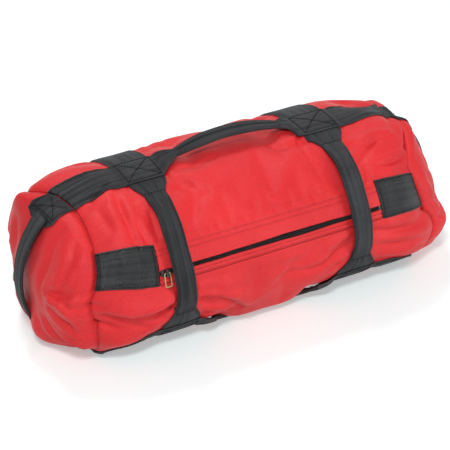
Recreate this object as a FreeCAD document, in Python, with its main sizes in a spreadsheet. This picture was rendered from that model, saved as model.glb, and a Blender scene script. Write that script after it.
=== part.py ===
import FreeCAD, Part
import math
import os

from FreeCAD import Placement, Rotation, Vector

# A zipped duffel-shaped training sandbag that lies on its side.
# The X axis runs along the bag, -Y is its front and +Z is up.
# The origin is on the floor, under the middle of the bag with its grips.

DOCUMENT = FreeCAD.newDocument("training_sandbag")

SIZES = (
    ("seam_to_seam", 450, "distance between the two end seams"),
    ("straight_length", 324, "middle stretch with one steady section"),
    ("body_width", 252, "widest girth section, front to back"),
    ("corner_radius", 95, "lower corners of the filled section"),
    ("side_height", 15, "upright stretch of each flank"),
    ("crown_rise", 89, "crown of the filled section above its upright flanks"),
    ("shoulder_radius", 70, "upper corners of the filled section"),
    ("end_width", 206, "section at the end seams, front to back"),
    ("end_lift", 1.5, "rise of the underside at the end seams"),
    ("end_corner_radius", 62, "lower corners at the end seams"),
    ("end_side_height", 50, "upright flank at the end seams"),
    ("end_crown_rise", 72, "crown above the upright flanks at the end seams"),
    ("end_shoulder_radius", 58, "upper corners at the end seams"),
    ("cap_bulge", 56, "how far each end panel domes out of its seam"),
    ("cap_flat", 68, "plain middle of an end panel, front to back"),
    ("cap_fullness", 2.6, "power of the end panels' outline: 2 is round, more is fuller"),
    ("cap_sag", 58, "middle of an end panel's dome above its underside"),
    ("fabric", 1.5, "thickness of the coated cloth"),
    ("webbing_width", 50, "flat webbing"),
    ("webbing", 1.8, "thickness of one webbing layer"),
    ("grip_width", 25, "webbing folded once lengthwise for the hand"),
    ("strap_spacing", 243, "centre distance of the two girth straps"),
    ("clearance", 0.3, "running gap between soft layers"),
    ("zip_rise", 21, "zip line above the upright flank, along the girth"),
    ("zip_length", 304, "zip opening between the end patches"),
    ("zip_slot", 5.4, "gap between the flap and the lower facing"),
    ("flap", 1.2, "thickness of the storm flap and the facing"),
    ("flap_width", 35, "storm flap above the zip"),
    ("facing_width", 12, "turned edge below the zip"),
    ("tape_width", 15, "each zip tape"),
    ("tape", 0.8, "thickness of the zip tape"),
    ("coil_width", 5, "closed coil, both rows"),
    ("coil_height", 2.1, "coil above its tapes"),
    ("groove_width", 1.8, "dip between the two rows of the coil"),
    ("groove_depth", 0.9, "depth of that dip"),
    ("stop_length", 4, "crimped stop at each end of the coil"),
    ("slider_length", 14, "zip slider along the zip"),
    ("slider_width", 9, "zip slider across the zip"),
    ("slider_plate", 1.4, "top plate of the slider"),
    ("slider_corner", 2.2, "round corners of the plate"),
    ("keel_width", 1.2, "guide rib under the slider plate"),
    ("bail_width", 3, "raised loop on the slider"),
    ("bail_wall", 1.5, "thickness of that loop"),
    ("bail_height", 3.6, "top of the loop above the plate"),
    ("bail_length", 9, "loop along the zip"),
    ("pull_length", 19, "pull ring, outside"),
    ("pull_width", 9, "pull ring, outside"),
    ("pull_bar", 1.3, "wire of the pull ring"),
    ("pull_corner", 2, "round corners of the pull ring, outside"),
    ("pull_slope", 6, "degrees the ring lies off the line down the bag"),
    ("patch_gap", 1, "end patch short of the seam"),
    ("patch_rise", 8, "middle of an end patch above the zip line, along the girth"),
    ("grip_low", 55, "lower root of a front grip under the zip, along the girth"),
    ("grip_high", 92, "upper root of a front grip above the zip, along the girth"),
    ("grip_stand", 9, "finger gap behind a front grip at its middle"),
    ("handle_half", 72, "half the span of the long handles"),
    ("handle_shoulder", 58, "place where a long handle nears its full width, from its middle"),
    ("handle_flat", 32, "place where a long handle has its full width, from its middle"),
    ("handle_rise", 12, "bow of the top handle over its roots"),
    ("root_rise", 8, "handle roots above the fabric"),
    ("neck_width", 14, "handle width at its roots"),
    ("shoulder_width", 20, "handle width where it nears its full width"),
    ("handle_thick", 5.4, "folded webbing of a handle, three layers"),
    ("bottom_strap_drop", 84, "centre of the bottom strap below the flank, along the girth"),
    ("tuck_in", 23, "bottom handle folded in under the bag"),
    ("tuck_down", 14, "bottom handle below its roots"),
    ("anchor_high", 153, "lower edge of the upper end anchors"),
    ("anchor_low", 34, "upper edge of the lower end anchors"),
    ("anchor_length", 30, "height of an end anchor"),
    ("end_handle_stand", 7, "finger gap behind an end handle at its middle"),
    ("seam_tape_width", 12, "binding over the raw seam edges inside"),
    ("filler_gap", 7, "slack between the shell and the filler sacks, taken up where they rest"),
    ("filler_wall", 1.2, "cloth of a filler sack"),
    ("filler_split", 5, "half the space between the two filler sacks"),
    ("filler_end_gap", 14, "filler sack short of the end seam"),
    ("closure_width", 150, "hook and loop strip on a filler sack"),
    ("closure_height", 40, "hook and loop strip on a filler sack"),
    ("closure", 2, "thickness of the hook and loop strip"),
)

sheet = DOCUMENT.addObject("Spreadsheet::Sheet", "sizes")
for row, (alias, value, note) in enumerate(SIZES, start=1):
    sheet.set("A%d" % row, alias)
    sheet.set("B%d" % row, str(value))
    sheet.set("C%d" % row, note)
    sheet.setAlias("B%d" % row, alias)
DOCUMENT.recompute()


def size(alias):
    """One driving size from the sheet, in millimetres."""
    return float(getattr(sheet, alias))


STRAP_X = size("strap_spacing") / 2
SEAM_X = size("seam_to_seam") / 2
STRAIGHT_X = size("straight_length") / 2
FABRIC = size("fabric")
GAP = size("clearance")
WEB = size("webbing")
HALF_WEB = size("webbing_width") / 2
ZIP = size("zip_rise")
FLAP_TOP = GAP + size("flap")
TAPE_TOP = -FABRIC - GAP
COIL_TOP = TAPE_TOP + size("coil_height")
ZIP_TILT = math.degrees(ZIP / size("shoulder_radius"))
GRIP_THICK = 2 * WEB
FIRST_LAYER = (GAP, GAP + WEB)
SECOND_LAYER = (2 * GAP + WEB, 2 * GAP + 2 * WEB)
UNDERSIDE = GAP + WEB
EDGE_X = STRAP_X - HALF_WEB
OUTER_X = STRAP_X + HALF_WEB
TAPER_STEPS = (0.0, 0.4, 0.72, 1.0)
DOME_STEPS = (0.0, 0.45, 0.75, 0.92, 1.0)
STRIP_ARCS = 3
PIECES = []


class Girth:
    """The closed section of the bag: flat underside, round corners, upright flanks, arched crown.

    Places on it are distances along the fabric, counted upwards from the top of the front flank.
    """

    def __init__(self, width, lift, corner, side, arch, shoulder):
        self.half = width / 2
        self.base = UNDERSIDE + lift
        self.corner = corner
        self.shoulder = shoulder
        self.low = self.base + corner
        self.high = self.low + side
        self.top = self.high + arch
        reach = self.half - shoulder
        self.crown = (reach ** 2 + arch ** 2 - shoulder ** 2) / (2 * (arch - shoulder))
        turn = math.atan2(self.crown - arch, reach)
        down = -math.pi / 2
        inset = self.half - corner
        crown_centre = (0.0, self.top - self.crown)
        self.pieces = [
            ("arc", (-reach, self.high), shoulder, math.pi, math.pi - turn),
            ("arc", crown_centre, self.crown, math.pi - turn, turn),
            ("arc", (reach, self.high), shoulder, turn, 0.0),
            ("line", (self.half, self.high), (self.half, self.low), 0.0),
            ("arc", (inset, self.low), corner, 0.0, down),
            ("line", (inset, self.base), (-inset, self.base), down),
            ("arc", (-inset, self.low), corner, down, -math.pi),
            ("line", (-self.half, self.low), (-self.half, self.high), math.pi),
        ]
        self.lengths = [self.piece_length(piece) for piece in self.pieces]
        self.total = sum(self.lengths)
        self.flank = side
        self.crown_place = self.lengths[0] + self.lengths[1] / 2

    @staticmethod
    def piece_length(piece):
        """Length of one arc or line of the section."""
        if piece[0] == "arc":
            return abs(piece[4] - piece[3]) * piece[2]
        return math.dist(piece[1], piece[2])

    @staticmethod
    def spot(piece, along, offset):
        """Point at a distance along one piece, moved outwards by offset."""
        if piece[0] == "arc":
            centre, radius, start, stop = piece[1:]
            angle = start + math.copysign(along / radius, stop - start)
            reach = radius + offset
            return Vector(0, centre[0] + reach * math.cos(angle), centre[1] + reach * math.sin(angle))
        start, stop, normal = piece[1:]
        share = along / math.dist(start, stop)
        y = start[0] + share * (stop[0] - start[0]) + offset * math.cos(normal)
        z = start[1] + share * (stop[1] - start[1]) + offset * math.sin(normal)
        return Vector(0, y, z)

    def point(self, place, offset=0.0):
        """Point of the section at a distance along the girth."""
        place %= self.total
        for piece, length in zip(self.pieces, self.lengths):
            if place <= length:
                return self.spot(piece, place, offset)
            place -= length
        return self.spot(self.pieces[-1], self.lengths[-1], offset)

    def path(self, start, stop, offset):
        """Lines and arcs along the girth between two places, start before stop."""
        curves = []
        begin = 0.0
        for lap in (-1, 0, 1):
            begin = lap * self.total
            for piece, length in zip(self.pieces, self.lengths):
                first = max(start, begin)
                last = min(stop, begin + length)
                if last - first > 1e-6:
                    ends = [self.spot(piece, place - begin, offset) for place in (first, last)]
                    if piece[0] == "arc":
                        middle = self.spot(piece, (first + last) / 2 - begin, offset)
                        curves.append(Part.Arc(ends[0], middle, ends[1]))
                    else:
                        curves.append(Part.LineSegment(ends[0], ends[1]))
                begin += length
        return curves

    def strip(self, start, stop, inner, outer):
        """Closed outline of a flat layer that follows the girth between two offsets."""
        outside = self.path(start, stop, outer)
        inside = self.path(start, stop, inner)
        first = Part.LineSegment(self.point(start, inner), self.point(start, outer))
        last = Part.LineSegment(self.point(stop, outer), self.point(stop, inner))
        return [first] + outside + [last] + list(reversed(inside))

    def wire(self, offset=0.0):
        """The whole closed section."""
        edges = [curve.toShape() for curve in self.path(0.0, self.total, offset)]
        return Part.Wire(Part.__sortEdges__(edges))


MIDDLE = Girth(size("body_width"), 0.0, size("corner_radius"), size("side_height"),
               size("crown_rise"), size("shoulder_radius"))


def blend(start, stop, share):
    """Value part of the way from start to stop."""
    return start + (stop - start) * share


def drawn_in(x):
    """How far the section at x is on its way to the one at the end seams, straight between steps."""
    along = max(0.0, (abs(x) - STRAIGHT_X) / (SEAM_X - STRAIGHT_X))
    for near, far in zip(TAPER_STEPS, TAPER_STEPS[1:]):
        if along <= far:
            break
    return blend(near ** 2, far ** 2, (along - near) / (far - near))


def station(x):
    """Girth of the bag at a distance from its middle, drawn in towards the end seams."""
    share = drawn_in(x)
    return Girth(blend(size("body_width"), size("end_width"), share),
                 size("end_lift") * share,
                 blend(size("corner_radius"), size("end_corner_radius"), share),
                 blend(size("side_height"), size("end_side_height"), share),
                 blend(size("crown_rise"), size("end_crown_rise"), share),
                 blend(size("shoulder_radius"), size("end_shoulder_radius"), share))


def dome_station(share):
    """Girth of an end panel at a share of its bulge, drawn in about its middle."""
    full = size("cap_fullness")
    rim = size("cap_flat") / size("end_width")
    shrink = (1 - share ** full * (1 - rim ** full)) ** (1 / full)
    return Girth(size("end_width") * shrink, size("end_lift") + size("cap_sag") * (1 - shrink),
                 size("end_corner_radius") * shrink, size("end_side_height") * shrink,
                 size("end_crown_rise") * shrink, size("end_shoulder_radius") * shrink)


def moved(wire, x):
    """Copy of a section moved along the bag."""
    copy = wire.copy()
    copy.translate(Vector(x, 0, 0))
    return copy


def offset_wire(girth, offset, x):
    """Closed section at x, moved outwards by offset."""
    return moved(girth.wire(offset), x)


def taper_places(first, last):
    """Distances from the middle for the sections of a drawn-in stretch."""
    steps = [blend(STRAIGHT_X, SEAM_X, step) for step in TAPER_STEPS]
    between = [place for place in steps if first + 1 < place < last - 1]
    return [first] + between + [last]


def halved(places):
    """The places with one more between each two."""
    middles = [(near + far) / 2 for near, far in zip(places, places[1:])]
    return sorted(places + middles)


def fabric_form(offset, reach, side=0):
    """Solid inside the fabric out to reach; side picks one half, 0 is both."""
    solids = []
    first = min(STRAIGHT_X, reach)
    face = Part.Face(MIDDLE.wire(offset))
    start = -first if side <= 0 else 0.0
    stop = first if side >= 0 else 0.0
    face.translate(Vector(start, 0, 0))
    solids.append(face.extrude(Vector(stop - start, 0, 0)))
    if reach > STRAIGHT_X:
        for way in (-1, 1):
            if side in (0, way):
                wires = [offset_wire(station(x), offset, way * x) for x in taper_places(STRAIGHT_X, reach)]
                solids.append(Part.makeLoft(wires, True, True))
    return joined(solids)


def joined(solids):
    """One solid from pieces that share faces or overlap."""
    shape = solids[0]
    for solid in solids[1:]:
        shape = shape.fuse(solid)
    return shape.removeSplitter()


def dome_form(way, offset, start=0.0):
    """Solid of one end panel's dome, its base at the seam moved by start."""
    wires = []
    for share in DOME_STEPS:
        x = SEAM_X + share * (size("cap_bulge") + offset) + (start if share == 0.0 else 0.0)
        wires.append(offset_wire(dome_station(share), offset, way * x))
    return Part.makeLoft(wires, True, True)


def feature(label, shape):
    """A piece whose shape is worked out here."""
    made = DOCUMENT.addObject("Part::Feature", label)
    made.Shape = shape
    made.Label = label
    made.Placement = shape.Placement
    PIECES.append(made)
    return made


def origin_plane(body, role):
    """One of a body's own base planes."""
    return next(plane for plane in body.Origin.OriginFeatures if plane.Role == role)


def sketch_on(body, name, role, curves):
    """Sketch on a base plane of its own body."""
    sketch = body.newObject("Sketcher::SketchObject", name)
    sketch.AttachmentSupport = (origin_plane(body, role), [""])
    sketch.MapMode = "FlatFace"
    sketch.addGeometry(curves, False)
    return sketch


def flat(curves):
    """Curves of the girth plane as sketch geometry."""
    drawn = []
    for curve in curves:
        shape = curve.toShape()
        ends = [vertex.Point for vertex in shape.Vertexes]
        corners = [Vector(end.y, end.z, 0) for end in ends]
        if isinstance(curve, Part.LineSegment):
            drawn.append(Part.LineSegment(corners[0], corners[1]))
        else:
            middle = shape.valueAt((shape.FirstParameter + shape.LastParameter) / 2)
            drawn.append(Part.Arc(corners[0], Vector(middle.y, middle.z, 0), corners[1]))
    return drawn


def padded(label, curves, start, length):
    """Layer cut from an outline in the girth plane, padded along the bag."""
    body = DOCUMENT.addObject("PartDesign::Body", label)
    body.Label = label
    sketch = sketch_on(body, label + "_outline", "YZ_Plane", flat(curves))
    pad = body.newObject("PartDesign::Pad", label + "_pad")
    pad.Profile = sketch
    pad.setExpression("Length", length)
    body.setExpression("Placement.Base.x", start)
    PIECES.append(body)
    return body


def face_of(curves):
    """Flat face inside a closed outline."""
    return Part.Face(Part.Wire(Part.__sortEdges__([curve.toShape() for curve in curves])))


def build_shell():
    """Body panel with its zip opening, the two domed end panels and the seam bindings."""
    outer = fabric_form(0.0, SEAM_X)
    inner = fabric_form(-FABRIC, SEAM_X + GAP)
    slot_half = size("tape_width") / 2 + GAP
    slot = face_of(MIDDLE.strip(ZIP - slot_half, ZIP + slot_half, -2 * FABRIC, FABRIC))
    slot.translate(Vector(-size("zip_length") / 2, 0, 0))
    opening = slot.extrude(Vector(size("zip_length"), 0, 0))
    ends = Part.makeBox(2 * SEAM_X - 2 * GAP, 2 * size("body_width"), 2 * MIDDLE.top,
                        Vector(-SEAM_X + GAP, -size("body_width"), -GAP))
    feature("body_panel", outer.cut(inner).cut(opening).common(ends))
    for name, way in (("left", -1), ("right", 1)):
        shell = dome_form(way, 0.0).cut(dome_form(way, -FABRIC, -GAP))
        feature("end_panel_" + name, shell)
        length = size("seam_tape_width")
        tape_wires = []
        for offset in (-FABRIC - GAP, -2 * FABRIC - GAP):
            tape_wires.append([offset_wire(station(x), offset, way * x)
                               for x in (SEAM_X - length, SEAM_X - 2 * GAP)])
        ring = Part.makeLoft(tape_wires[0], True, True).cut(Part.makeLoft(tape_wires[1], True, True))
        feature("seam_tape_" + name, ring)


def build_zip():
    """Storm flap, lower facing, tapes, coil, stops, slider and pull."""
    half_slot = size("zip_slot") / 2
    start = "-sizes.zip_length / 2 + sizes.clearance"
    length = "sizes.zip_length - 2 * sizes.clearance"
    padded("zip_flap_upper", MIDDLE.strip(ZIP + half_slot, ZIP + half_slot + size("flap_width"),
                                          GAP, FLAP_TOP), start, length)
    padded("zip_facing_lower", MIDDLE.strip(ZIP - half_slot - size("facing_width"), ZIP - half_slot,
                                            GAP, FLAP_TOP), start, length)
    tape_low = TAPE_TOP - size("tape")
    padded("zip_tape_upper", MIDDLE.strip(ZIP + GAP, ZIP + size("tape_width"), tape_low, TAPE_TOP),
           start, length)
    padded("zip_tape_lower", MIDDLE.strip(ZIP - size("tape_width"), ZIP - GAP, tape_low, TAPE_TOP),
           start, length)
    half_coil = size("coil_width") / 2
    stop = MIDDLE.strip(ZIP - half_coil, ZIP + half_coil, TAPE_TOP, COIL_TOP + GAP)
    padded("zip_stop_left", stop, start, "sizes.stop_length")
    padded("zip_stop_right", stop, "sizes.zip_length / 2 - sizes.clearance - sizes.stop_length",
           "sizes.stop_length")
    build_coil()
    build_slider()


def zip_frame(body, along):
    """Stand a body on the zip line: its own X along the zip, its own Z away from the bag."""
    spot = MIDDLE.point(ZIP)
    body.Placement = Placement(Vector(0, spot.y, spot.z), Rotation(Vector(1, 0, 0), 90 - ZIP_TILT))
    body.setExpression("Placement.Base.x", along)


def box_on(body, name, role, low, high, length, kind="PartDesign::Pad"):
    """Rectangle on a base plane, padded or pocketed evenly to both sides by a bound length."""
    corners = [Vector(low[0], low[1], 0), Vector(high[0], low[1], 0),
               Vector(high[0], high[1], 0), Vector(low[0], high[1], 0)]
    lines = [Part.LineSegment(corners[turn], corners[(turn + 1) % 4]) for turn in range(4)]
    sketch = sketch_on(body, name + "_outline", role, lines)
    made = body.newObject(kind, name)
    made.Profile = sketch
    made.SideType = "Symmetric"
    made.setExpression("Length", length)
    return made


def build_coil():
    """Closed coil with the shallow dip between its two rows."""
    body = DOCUMENT.addObject("PartDesign::Body", "zip_coil")
    body.Label = "zip_coil"
    half = size("coil_width") / 2
    dip = size("groove_width") / 2
    floor = COIL_TOP - size("groove_depth")
    profile = [(-half, TAPE_TOP), (half, TAPE_TOP), (half, COIL_TOP), (dip, COIL_TOP),
               (dip, floor), (-dip, floor), (-dip, COIL_TOP), (-half, COIL_TOP)]
    corners = [Vector(y, z, 0) for y, z in profile]
    lines = [Part.LineSegment(corners[turn], corners[(turn + 1) % len(corners)])
             for turn in range(len(corners))]
    sketch = sketch_on(body, "coil_outline", "YZ_Plane", lines)
    pad = body.newObject("PartDesign::Pad", "coil_pad")
    pad.Profile = sketch
    pad.SideType = "Symmetric"
    pad.setExpression("Length", "sizes.zip_length - 4 * sizes.clearance - 2 * sizes.stop_length")
    zip_frame(body, "0")
    PIECES.append(body)


def build_slider():
    """Slider with its guide rib and loop, and the ring that hangs from the loop."""
    rest = "-sizes.zip_length / 2 + sizes.slider_length / 2 + sizes.patch_gap / 2"
    plate_low = FLAP_TOP + GAP
    plate_top = plate_low + size("slider_plate")
    half_long = size("slider_length") / 2
    body = DOCUMENT.addObject("PartDesign::Body", "zip_slider")
    body.Label = "zip_slider"
    box_on(body, "plate", "XZ_Plane", (-half_long, plate_low), (half_long, plate_top),
           "sizes.slider_width")
    keel_half = half_long - size("stop_length")
    keel_low = COIL_TOP - size("groove_depth") + GAP
    box_on(body, "keel", "XZ_Plane", (-keel_half, keel_low), (keel_half, plate_low),
           "sizes.keel_width")
    wall = size("bail_wall")
    loop_half = size("bail_length") / 2
    loop_top = plate_top + size("bail_height")
    box_on(body, "loop", "YZ_Plane", (-loop_half, plate_top), (loop_half, loop_top),
           "sizes.bail_width")
    DOCUMENT.recompute()
    before = body.Shape.Volume
    eye_top = loop_top - wall / 2
    box_on(body, "eye", "YZ_Plane", (-loop_half + wall, plate_top + GAP), (loop_half - wall, eye_top),
           "2 * sizes.bail_width", "PartDesign::Pocket")
    DOCUMENT.recompute()
    if body.Shape.Volume >= before:
        raise RuntimeError("the eye of the slider's loop is not cut")
    uprights = [name for name, edge in edge_names(body.Shape)
                if abs(edge.Length - size("slider_plate")) < 1e-3 and is_upright(edge)]
    block = body.Tip
    corners = body.newObject("PartDesign::Fillet", "plate_corners")
    corners.Base = (block, uprights)
    corners.setExpression("Radius", "sizes.slider_corner")
    zip_frame(body, rest)
    PIECES.append(body)

    pull = DOCUMENT.addObject("PartDesign::Body", "zip_pull")
    pull.Label = "zip_pull"
    bar = size("pull_bar")
    eye_middle = (plate_top + GAP + eye_top) / 2
    outer = rounded_outline(size("pull_width"), size("pull_length"), size("pull_corner"))
    inner = rounded_outline(size("pull_width") - 2 * bar, size("pull_length") - 2 * bar,
                            size("pull_corner") - bar)
    sketch = sketch_on(pull, "ring_outline", "XY_Plane", outer + inner)
    pad = pull.newObject("PartDesign::Pad", "ring")
    pad.Profile = sketch
    pad.SideType = "Symmetric"
    pad.setExpression("Length", "sizes.pull_bar")
    spot = MIDDLE.point(ZIP)
    turn = Rotation(Vector(1, 0, 0), 90 - ZIP_TILT)
    hang = turn.multiply(Rotation(Vector(1, 0, 0), size("pull_slope")))
    pivot = Vector(0, spot.y, spot.z) + turn.multVec(Vector(0, 0, eye_middle))
    drop = hang.multVec(Vector(0, -(size("pull_length") - bar) / 2, 0))
    pull.Placement = Placement(pivot + drop, hang)
    pull.setExpression("Placement.Base.x", rest)
    PIECES.append(pull)


def edge_names(shape):
    """Edges of a shape with the names that features know them by."""
    return [("Edge%d" % number, edge) for number, edge in enumerate(shape.Edges, start=1)]


def is_upright(edge):
    """Whether a straight edge runs away from the bag."""
    start, stop = [vertex.Point for vertex in edge.Vertexes][:2]
    run = stop - start
    return abs(run.x) + abs(run.y) < 1e-6


def rounded_outline(width, length, radius):
    """Rectangle with round corners about the origin."""
    right, top = width / 2, length / 2
    bend = radius * (1 - math.sqrt(0.5))
    curves = []
    for sx, sy in ((1, 1), (-1, 1), (-1, -1), (1, -1)):
        ends = [Vector(sx * right, sy * (top - radius), 0), Vector(sx * (right - radius), sy * top, 0)]
        if sx * sy < 0:
            ends.reverse()
        middle = Vector(sx * (right - bend), sy * (top - bend), 0)
        curves.append(Part.Arc(ends[0], middle, ends[1]))
    for number in range(4):
        stop = curves[number].EndPoint
        start = curves[(number + 1) % 4].StartPoint
        curves.append(Part.LineSegment(stop, start))
    return curves


def strip_wire(girth, start, stop, layer, x, arcs):
    """Closed section of a layer on one girth of the bag, each side in the same number of arcs."""
    places = [blend(start, stop, step / arcs) for step in range(arcs + 1)]
    sides = []
    for offset in layer:
        sides.append([Part.Arc(girth.point(near, offset), girth.point((near + far) / 2, offset),
                               girth.point(far, offset)) for near, far in zip(places, places[1:])])
    caps = [Part.LineSegment(girth.point(place, layer[0]), girth.point(place, layer[1]))
            for place in (start, stop)]
    edges = [curve.toShape() for curve in sides[0] + sides[1] + caps]
    return moved(Part.Wire(Part.__sortEdges__(edges)), x)


def along_bag(reference, low, high, layer, first, last, way):
    """Layer that runs along the bag from first to last and follows its drawn-in ends.

    reference gives the place on a girth that low and high are counted from.
    """
    solids = []
    if first < STRAIGHT_X:
        base = reference(MIDDLE)
        face = Part.Face(strip_wire(MIDDLE, base + low, base + high, layer, way * first, STRIP_ARCS))
        solids.append(face.extrude(Vector(way * (min(last, STRAIGHT_X) - first), 0, 0)))
    if last > STRAIGHT_X:
        wires = []
        for x in halved(taper_places(max(first, STRAIGHT_X), last)):
            girth = station(x)
            base = reference(girth)
            wires.append(strip_wire(girth, base + low, base + high, layer, way * x, STRIP_ARCS))
        solids.append(Part.makeLoft(wires, True, True))
    return joined(solids)


def at_crown(girth):
    """Middle of the crown."""
    return girth.crown_place


def at_zip(girth):
    """Zip line on the front shoulder."""
    return ZIP


def at_patch(girth):
    """Middle of the end patches, a little above the zip line."""
    return at_zip(girth) + size("patch_rise")


def at_bottom_strap(girth):
    """Middle of the bottom strap on the front lower corner."""
    return -girth.flank - size("bottom_strap_drop")


def bar_wire(x, centre, outward, width, thick):
    """Rectangular section of a folded grip; outward is the angle its thickness points along."""
    out = Vector(0, math.cos(outward), math.sin(outward)) * (thick / 2)
    side = Vector(0, -math.sin(outward), math.cos(outward)) * (width / 2)
    middle = Vector(x, centre[0], centre[1])
    corners = [middle - out - side, middle + out - side, middle + out + side, middle - out + side]
    return Part.makePolygon(corners + corners[:1])


def bowed_layer(inner, outer):
    """Outline of a bowed layer between one arc on its inner face and one on its outer face."""
    return [Part.Arc(*inner), Part.LineSegment(inner[2], outer[2]), Part.Arc(*outer),
            Part.LineSegment(outer[0], inner[0])]


def long_strap(name, reference, way):
    """Sewn end of a long strap: on the cloth, over the girth strap, then rising to its handle."""
    step = OUTER_X + GAP + WEB
    solids = [along_bag(reference, -HALF_WEB, HALF_WEB, FIRST_LAYER, step, SEAM_X - size("patch_gap"), way),
              along_bag(reference, -HALF_WEB, HALF_WEB, (FIRST_LAYER[0], SECOND_LAYER[1]),
                        OUTER_X + GAP, step, way),
              along_bag(reference, -HALF_WEB, HALF_WEB, SECOND_LAYER, EDGE_X, OUTER_X + GAP, way)]
    base = reference(MIDDLE)
    centre = MIDDLE.point(base, size("root_rise"))
    foot = MIDDLE.point(base)
    outward = math.atan2(centre.z - foot.z, centre.y - foot.y)
    flare = [strip_wire(MIDDLE, base - HALF_WEB, base + HALF_WEB, SECOND_LAYER, way * EDGE_X, 1),
             bar_wire(way * (size("handle_half") + GAP), (centre.y, centre.z), outward,
                      size("neck_width"), size("handle_thick"))]
    solids.append(Part.makeLoft(flare, True, True))
    feature(name, joined(solids))


def long_handle(name, root, bow, out, faces):
    """Folded grip that bows from its two roots by the vector bow.

    root is its centre at either root, out and faces the angles that its outer side looks along
    at the roots and at its middle.
    """
    wires = []
    for x, width in ((-size("handle_half"), size("neck_width")),
                     (-size("handle_shoulder"), size("shoulder_width")),
                     (-size("handle_flat"), size("grip_width")),
                     (0.0, size("grip_width")),
                     (size("handle_flat"), size("grip_width")),
                     (size("handle_shoulder"), size("shoulder_width")),
                     (size("handle_half"), size("neck_width"))):
        share = 1 - (x / size("handle_half")) ** 2
        centre = (root.y + share * bow[0], root.z + share * bow[1])
        wires.append(bar_wire(x, centre, blend(out, faces, share), width, size("handle_thick")))
    feature(name, Part.makeLoft(wires, True, False))


def build_straps():
    """Girth straps, front grips, long straps and their handles, and the patches over the zip ends."""
    low_root = ZIP - size("grip_low")
    high_root = ZIP + size("grip_high")
    around = MIDDLE.strip(high_root + GAP, MIDDLE.total + low_root - GAP, *FIRST_LAYER)
    faces = []
    for lift in (GAP, GAP + GRIP_THICK):
        faces.append([MIDDLE.point(low_root, lift),
                      MIDDLE.point((low_root + high_root) / 2, lift + size("grip_stand")),
                      MIDDLE.point(high_root, lift)])
    grip = bowed_layer(*faces)
    for name, sign in (("left", "-"), ("right", "")):
        padded("girth_strap_" + name, around,
               sign + "sizes.strap_spacing / 2 - sizes.webbing_width / 2", "sizes.webbing_width")
        padded("front_grip_" + name, grip,
               sign + "sizes.strap_spacing / 2 - sizes.grip_width / 2", "sizes.grip_width")
    for name, way in (("left", -1), ("right", 1)):
        long_strap("top_strap_" + name, at_crown, way)
        long_strap("bottom_strap_" + name, at_bottom_strap, way)
        patch = along_bag(at_patch, -HALF_WEB, HALF_WEB, FIRST_LAYER, size("zip_length") / 2 + GAP,
                          SEAM_X - size("patch_gap"), way)
        feature("zip_end_patch_" + name, patch)
    build_long_handles()


def build_long_handles():
    """Top handle that bows over the crown and bottom handle folded in under the bag."""
    up = math.pi / 2
    root = MIDDLE.point(MIDDLE.crown_place, size("root_rise"))
    long_handle("top_handle", root, (0.0, size("handle_rise")), up, up)
    place = at_bottom_strap(MIDDLE)
    foot = MIDDLE.point(place)
    root = MIDDLE.point(place, size("root_rise"))
    out = math.atan2(root.z - foot.z, root.y - foot.y)
    long_handle("bottom_handle", root, (size("tuck_in"), -size("tuck_down")), out, -up)


def dome_reach(way, height, offset=0.0):
    """How far an end panel stands out at a height on its middle line."""
    line = Part.makeLine(Vector(0, 0, height), Vector(way * 2 * SEAM_X, 0, height))
    cut = line.common(dome_form(way, offset))
    return max(abs(vertex.Point.x) for vertex in cut.Vertexes)


def build_ends():
    """Anchors stitched to the end panels and the bowed handles between them."""
    for name, way in (("left", -1), ("right", 1)):
        layer = dome_form(way, FIRST_LAYER[1]).cut(dome_form(way, FIRST_LAYER[0], -GAP))
        for place, low in (("upper", size("anchor_high")),
                           ("lower", size("anchor_low") - size("anchor_length"))):
            box = Part.makeBox(2 * SEAM_X, size("webbing_width"), size("anchor_length"),
                               Vector(-SEAM_X + way * (2 * SEAM_X + GAP), -HALF_WEB, low))
            feature("end_anchor_%s_%s" % (place, name), layer.common(box))
        roots = (size("anchor_low") + GAP, size("anchor_high") - GAP)
        middle = (roots[0] + roots[1]) / 2
        stand = dome_reach(way, middle) + size("end_handle_stand")
        faces = []
        for lift in (GAP, GAP + GRIP_THICK):
            faces.append([Vector(way * (dome_reach(way, roots[0]) + lift), 0, roots[0]),
                          Vector(way * (stand + lift), 0, middle),
                          Vector(way * (dome_reach(way, roots[1]) + lift), 0, roots[1])])
        face = face_of(bowed_layer(*faces))
        face.translate(Vector(0, -size("grip_width") / 2, 0))
        feature("end_handle_" + name, face.extrude(Vector(0, size("grip_width"), 0)))


def half_space(way, near):
    """Box that holds everything on one side of the bag's middle beyond near."""
    far = 2 * SEAM_X
    return Part.makeBox(far, 2 * far, 2 * far, Vector(near if way > 0 else -near - far, -far, -far / 2))


def settled(shape):
    """Copy of a filler piece, lowered until the sacks rest on the shell."""
    copy = shape.copy()
    copy.translate(Vector(0, 0, GAP - size("filler_gap")))
    return copy


def build_fillers():
    """Two inner sacks of sand, each closed by a hook and loop strip."""
    slack = -FABRIC - size("filler_gap")
    reach = SEAM_X - size("filler_end_gap")
    wall = size("filler_wall")
    split = size("filler_split")
    for name, way in (("left", -1), ("right", 1)):
        outer = fabric_form(slack, reach, way).common(half_space(way, split))
        hollow = fabric_form(slack - wall, reach - wall, way).common(half_space(way, split + wall))
        sand = fabric_form(slack - wall - GAP, reach - wall - GAP, way)
        feature("filler_sack_" + name, settled(outer.cut(hollow)))
        feature("sand_fill_" + name, settled(sand.common(half_space(way, split + wall + GAP))))
        x = way * (split - GAP - size("closure") / 2) - size("closure") / 2
        corner = Vector(x, -size("closure_width") / 2, (MIDDLE.top - size("closure_height")) / 2)
        strip = Part.makeBox(size("closure"), size("closure_width"), size("closure_height"), corner)
        feature("sack_closure_" + name, strip)


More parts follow.
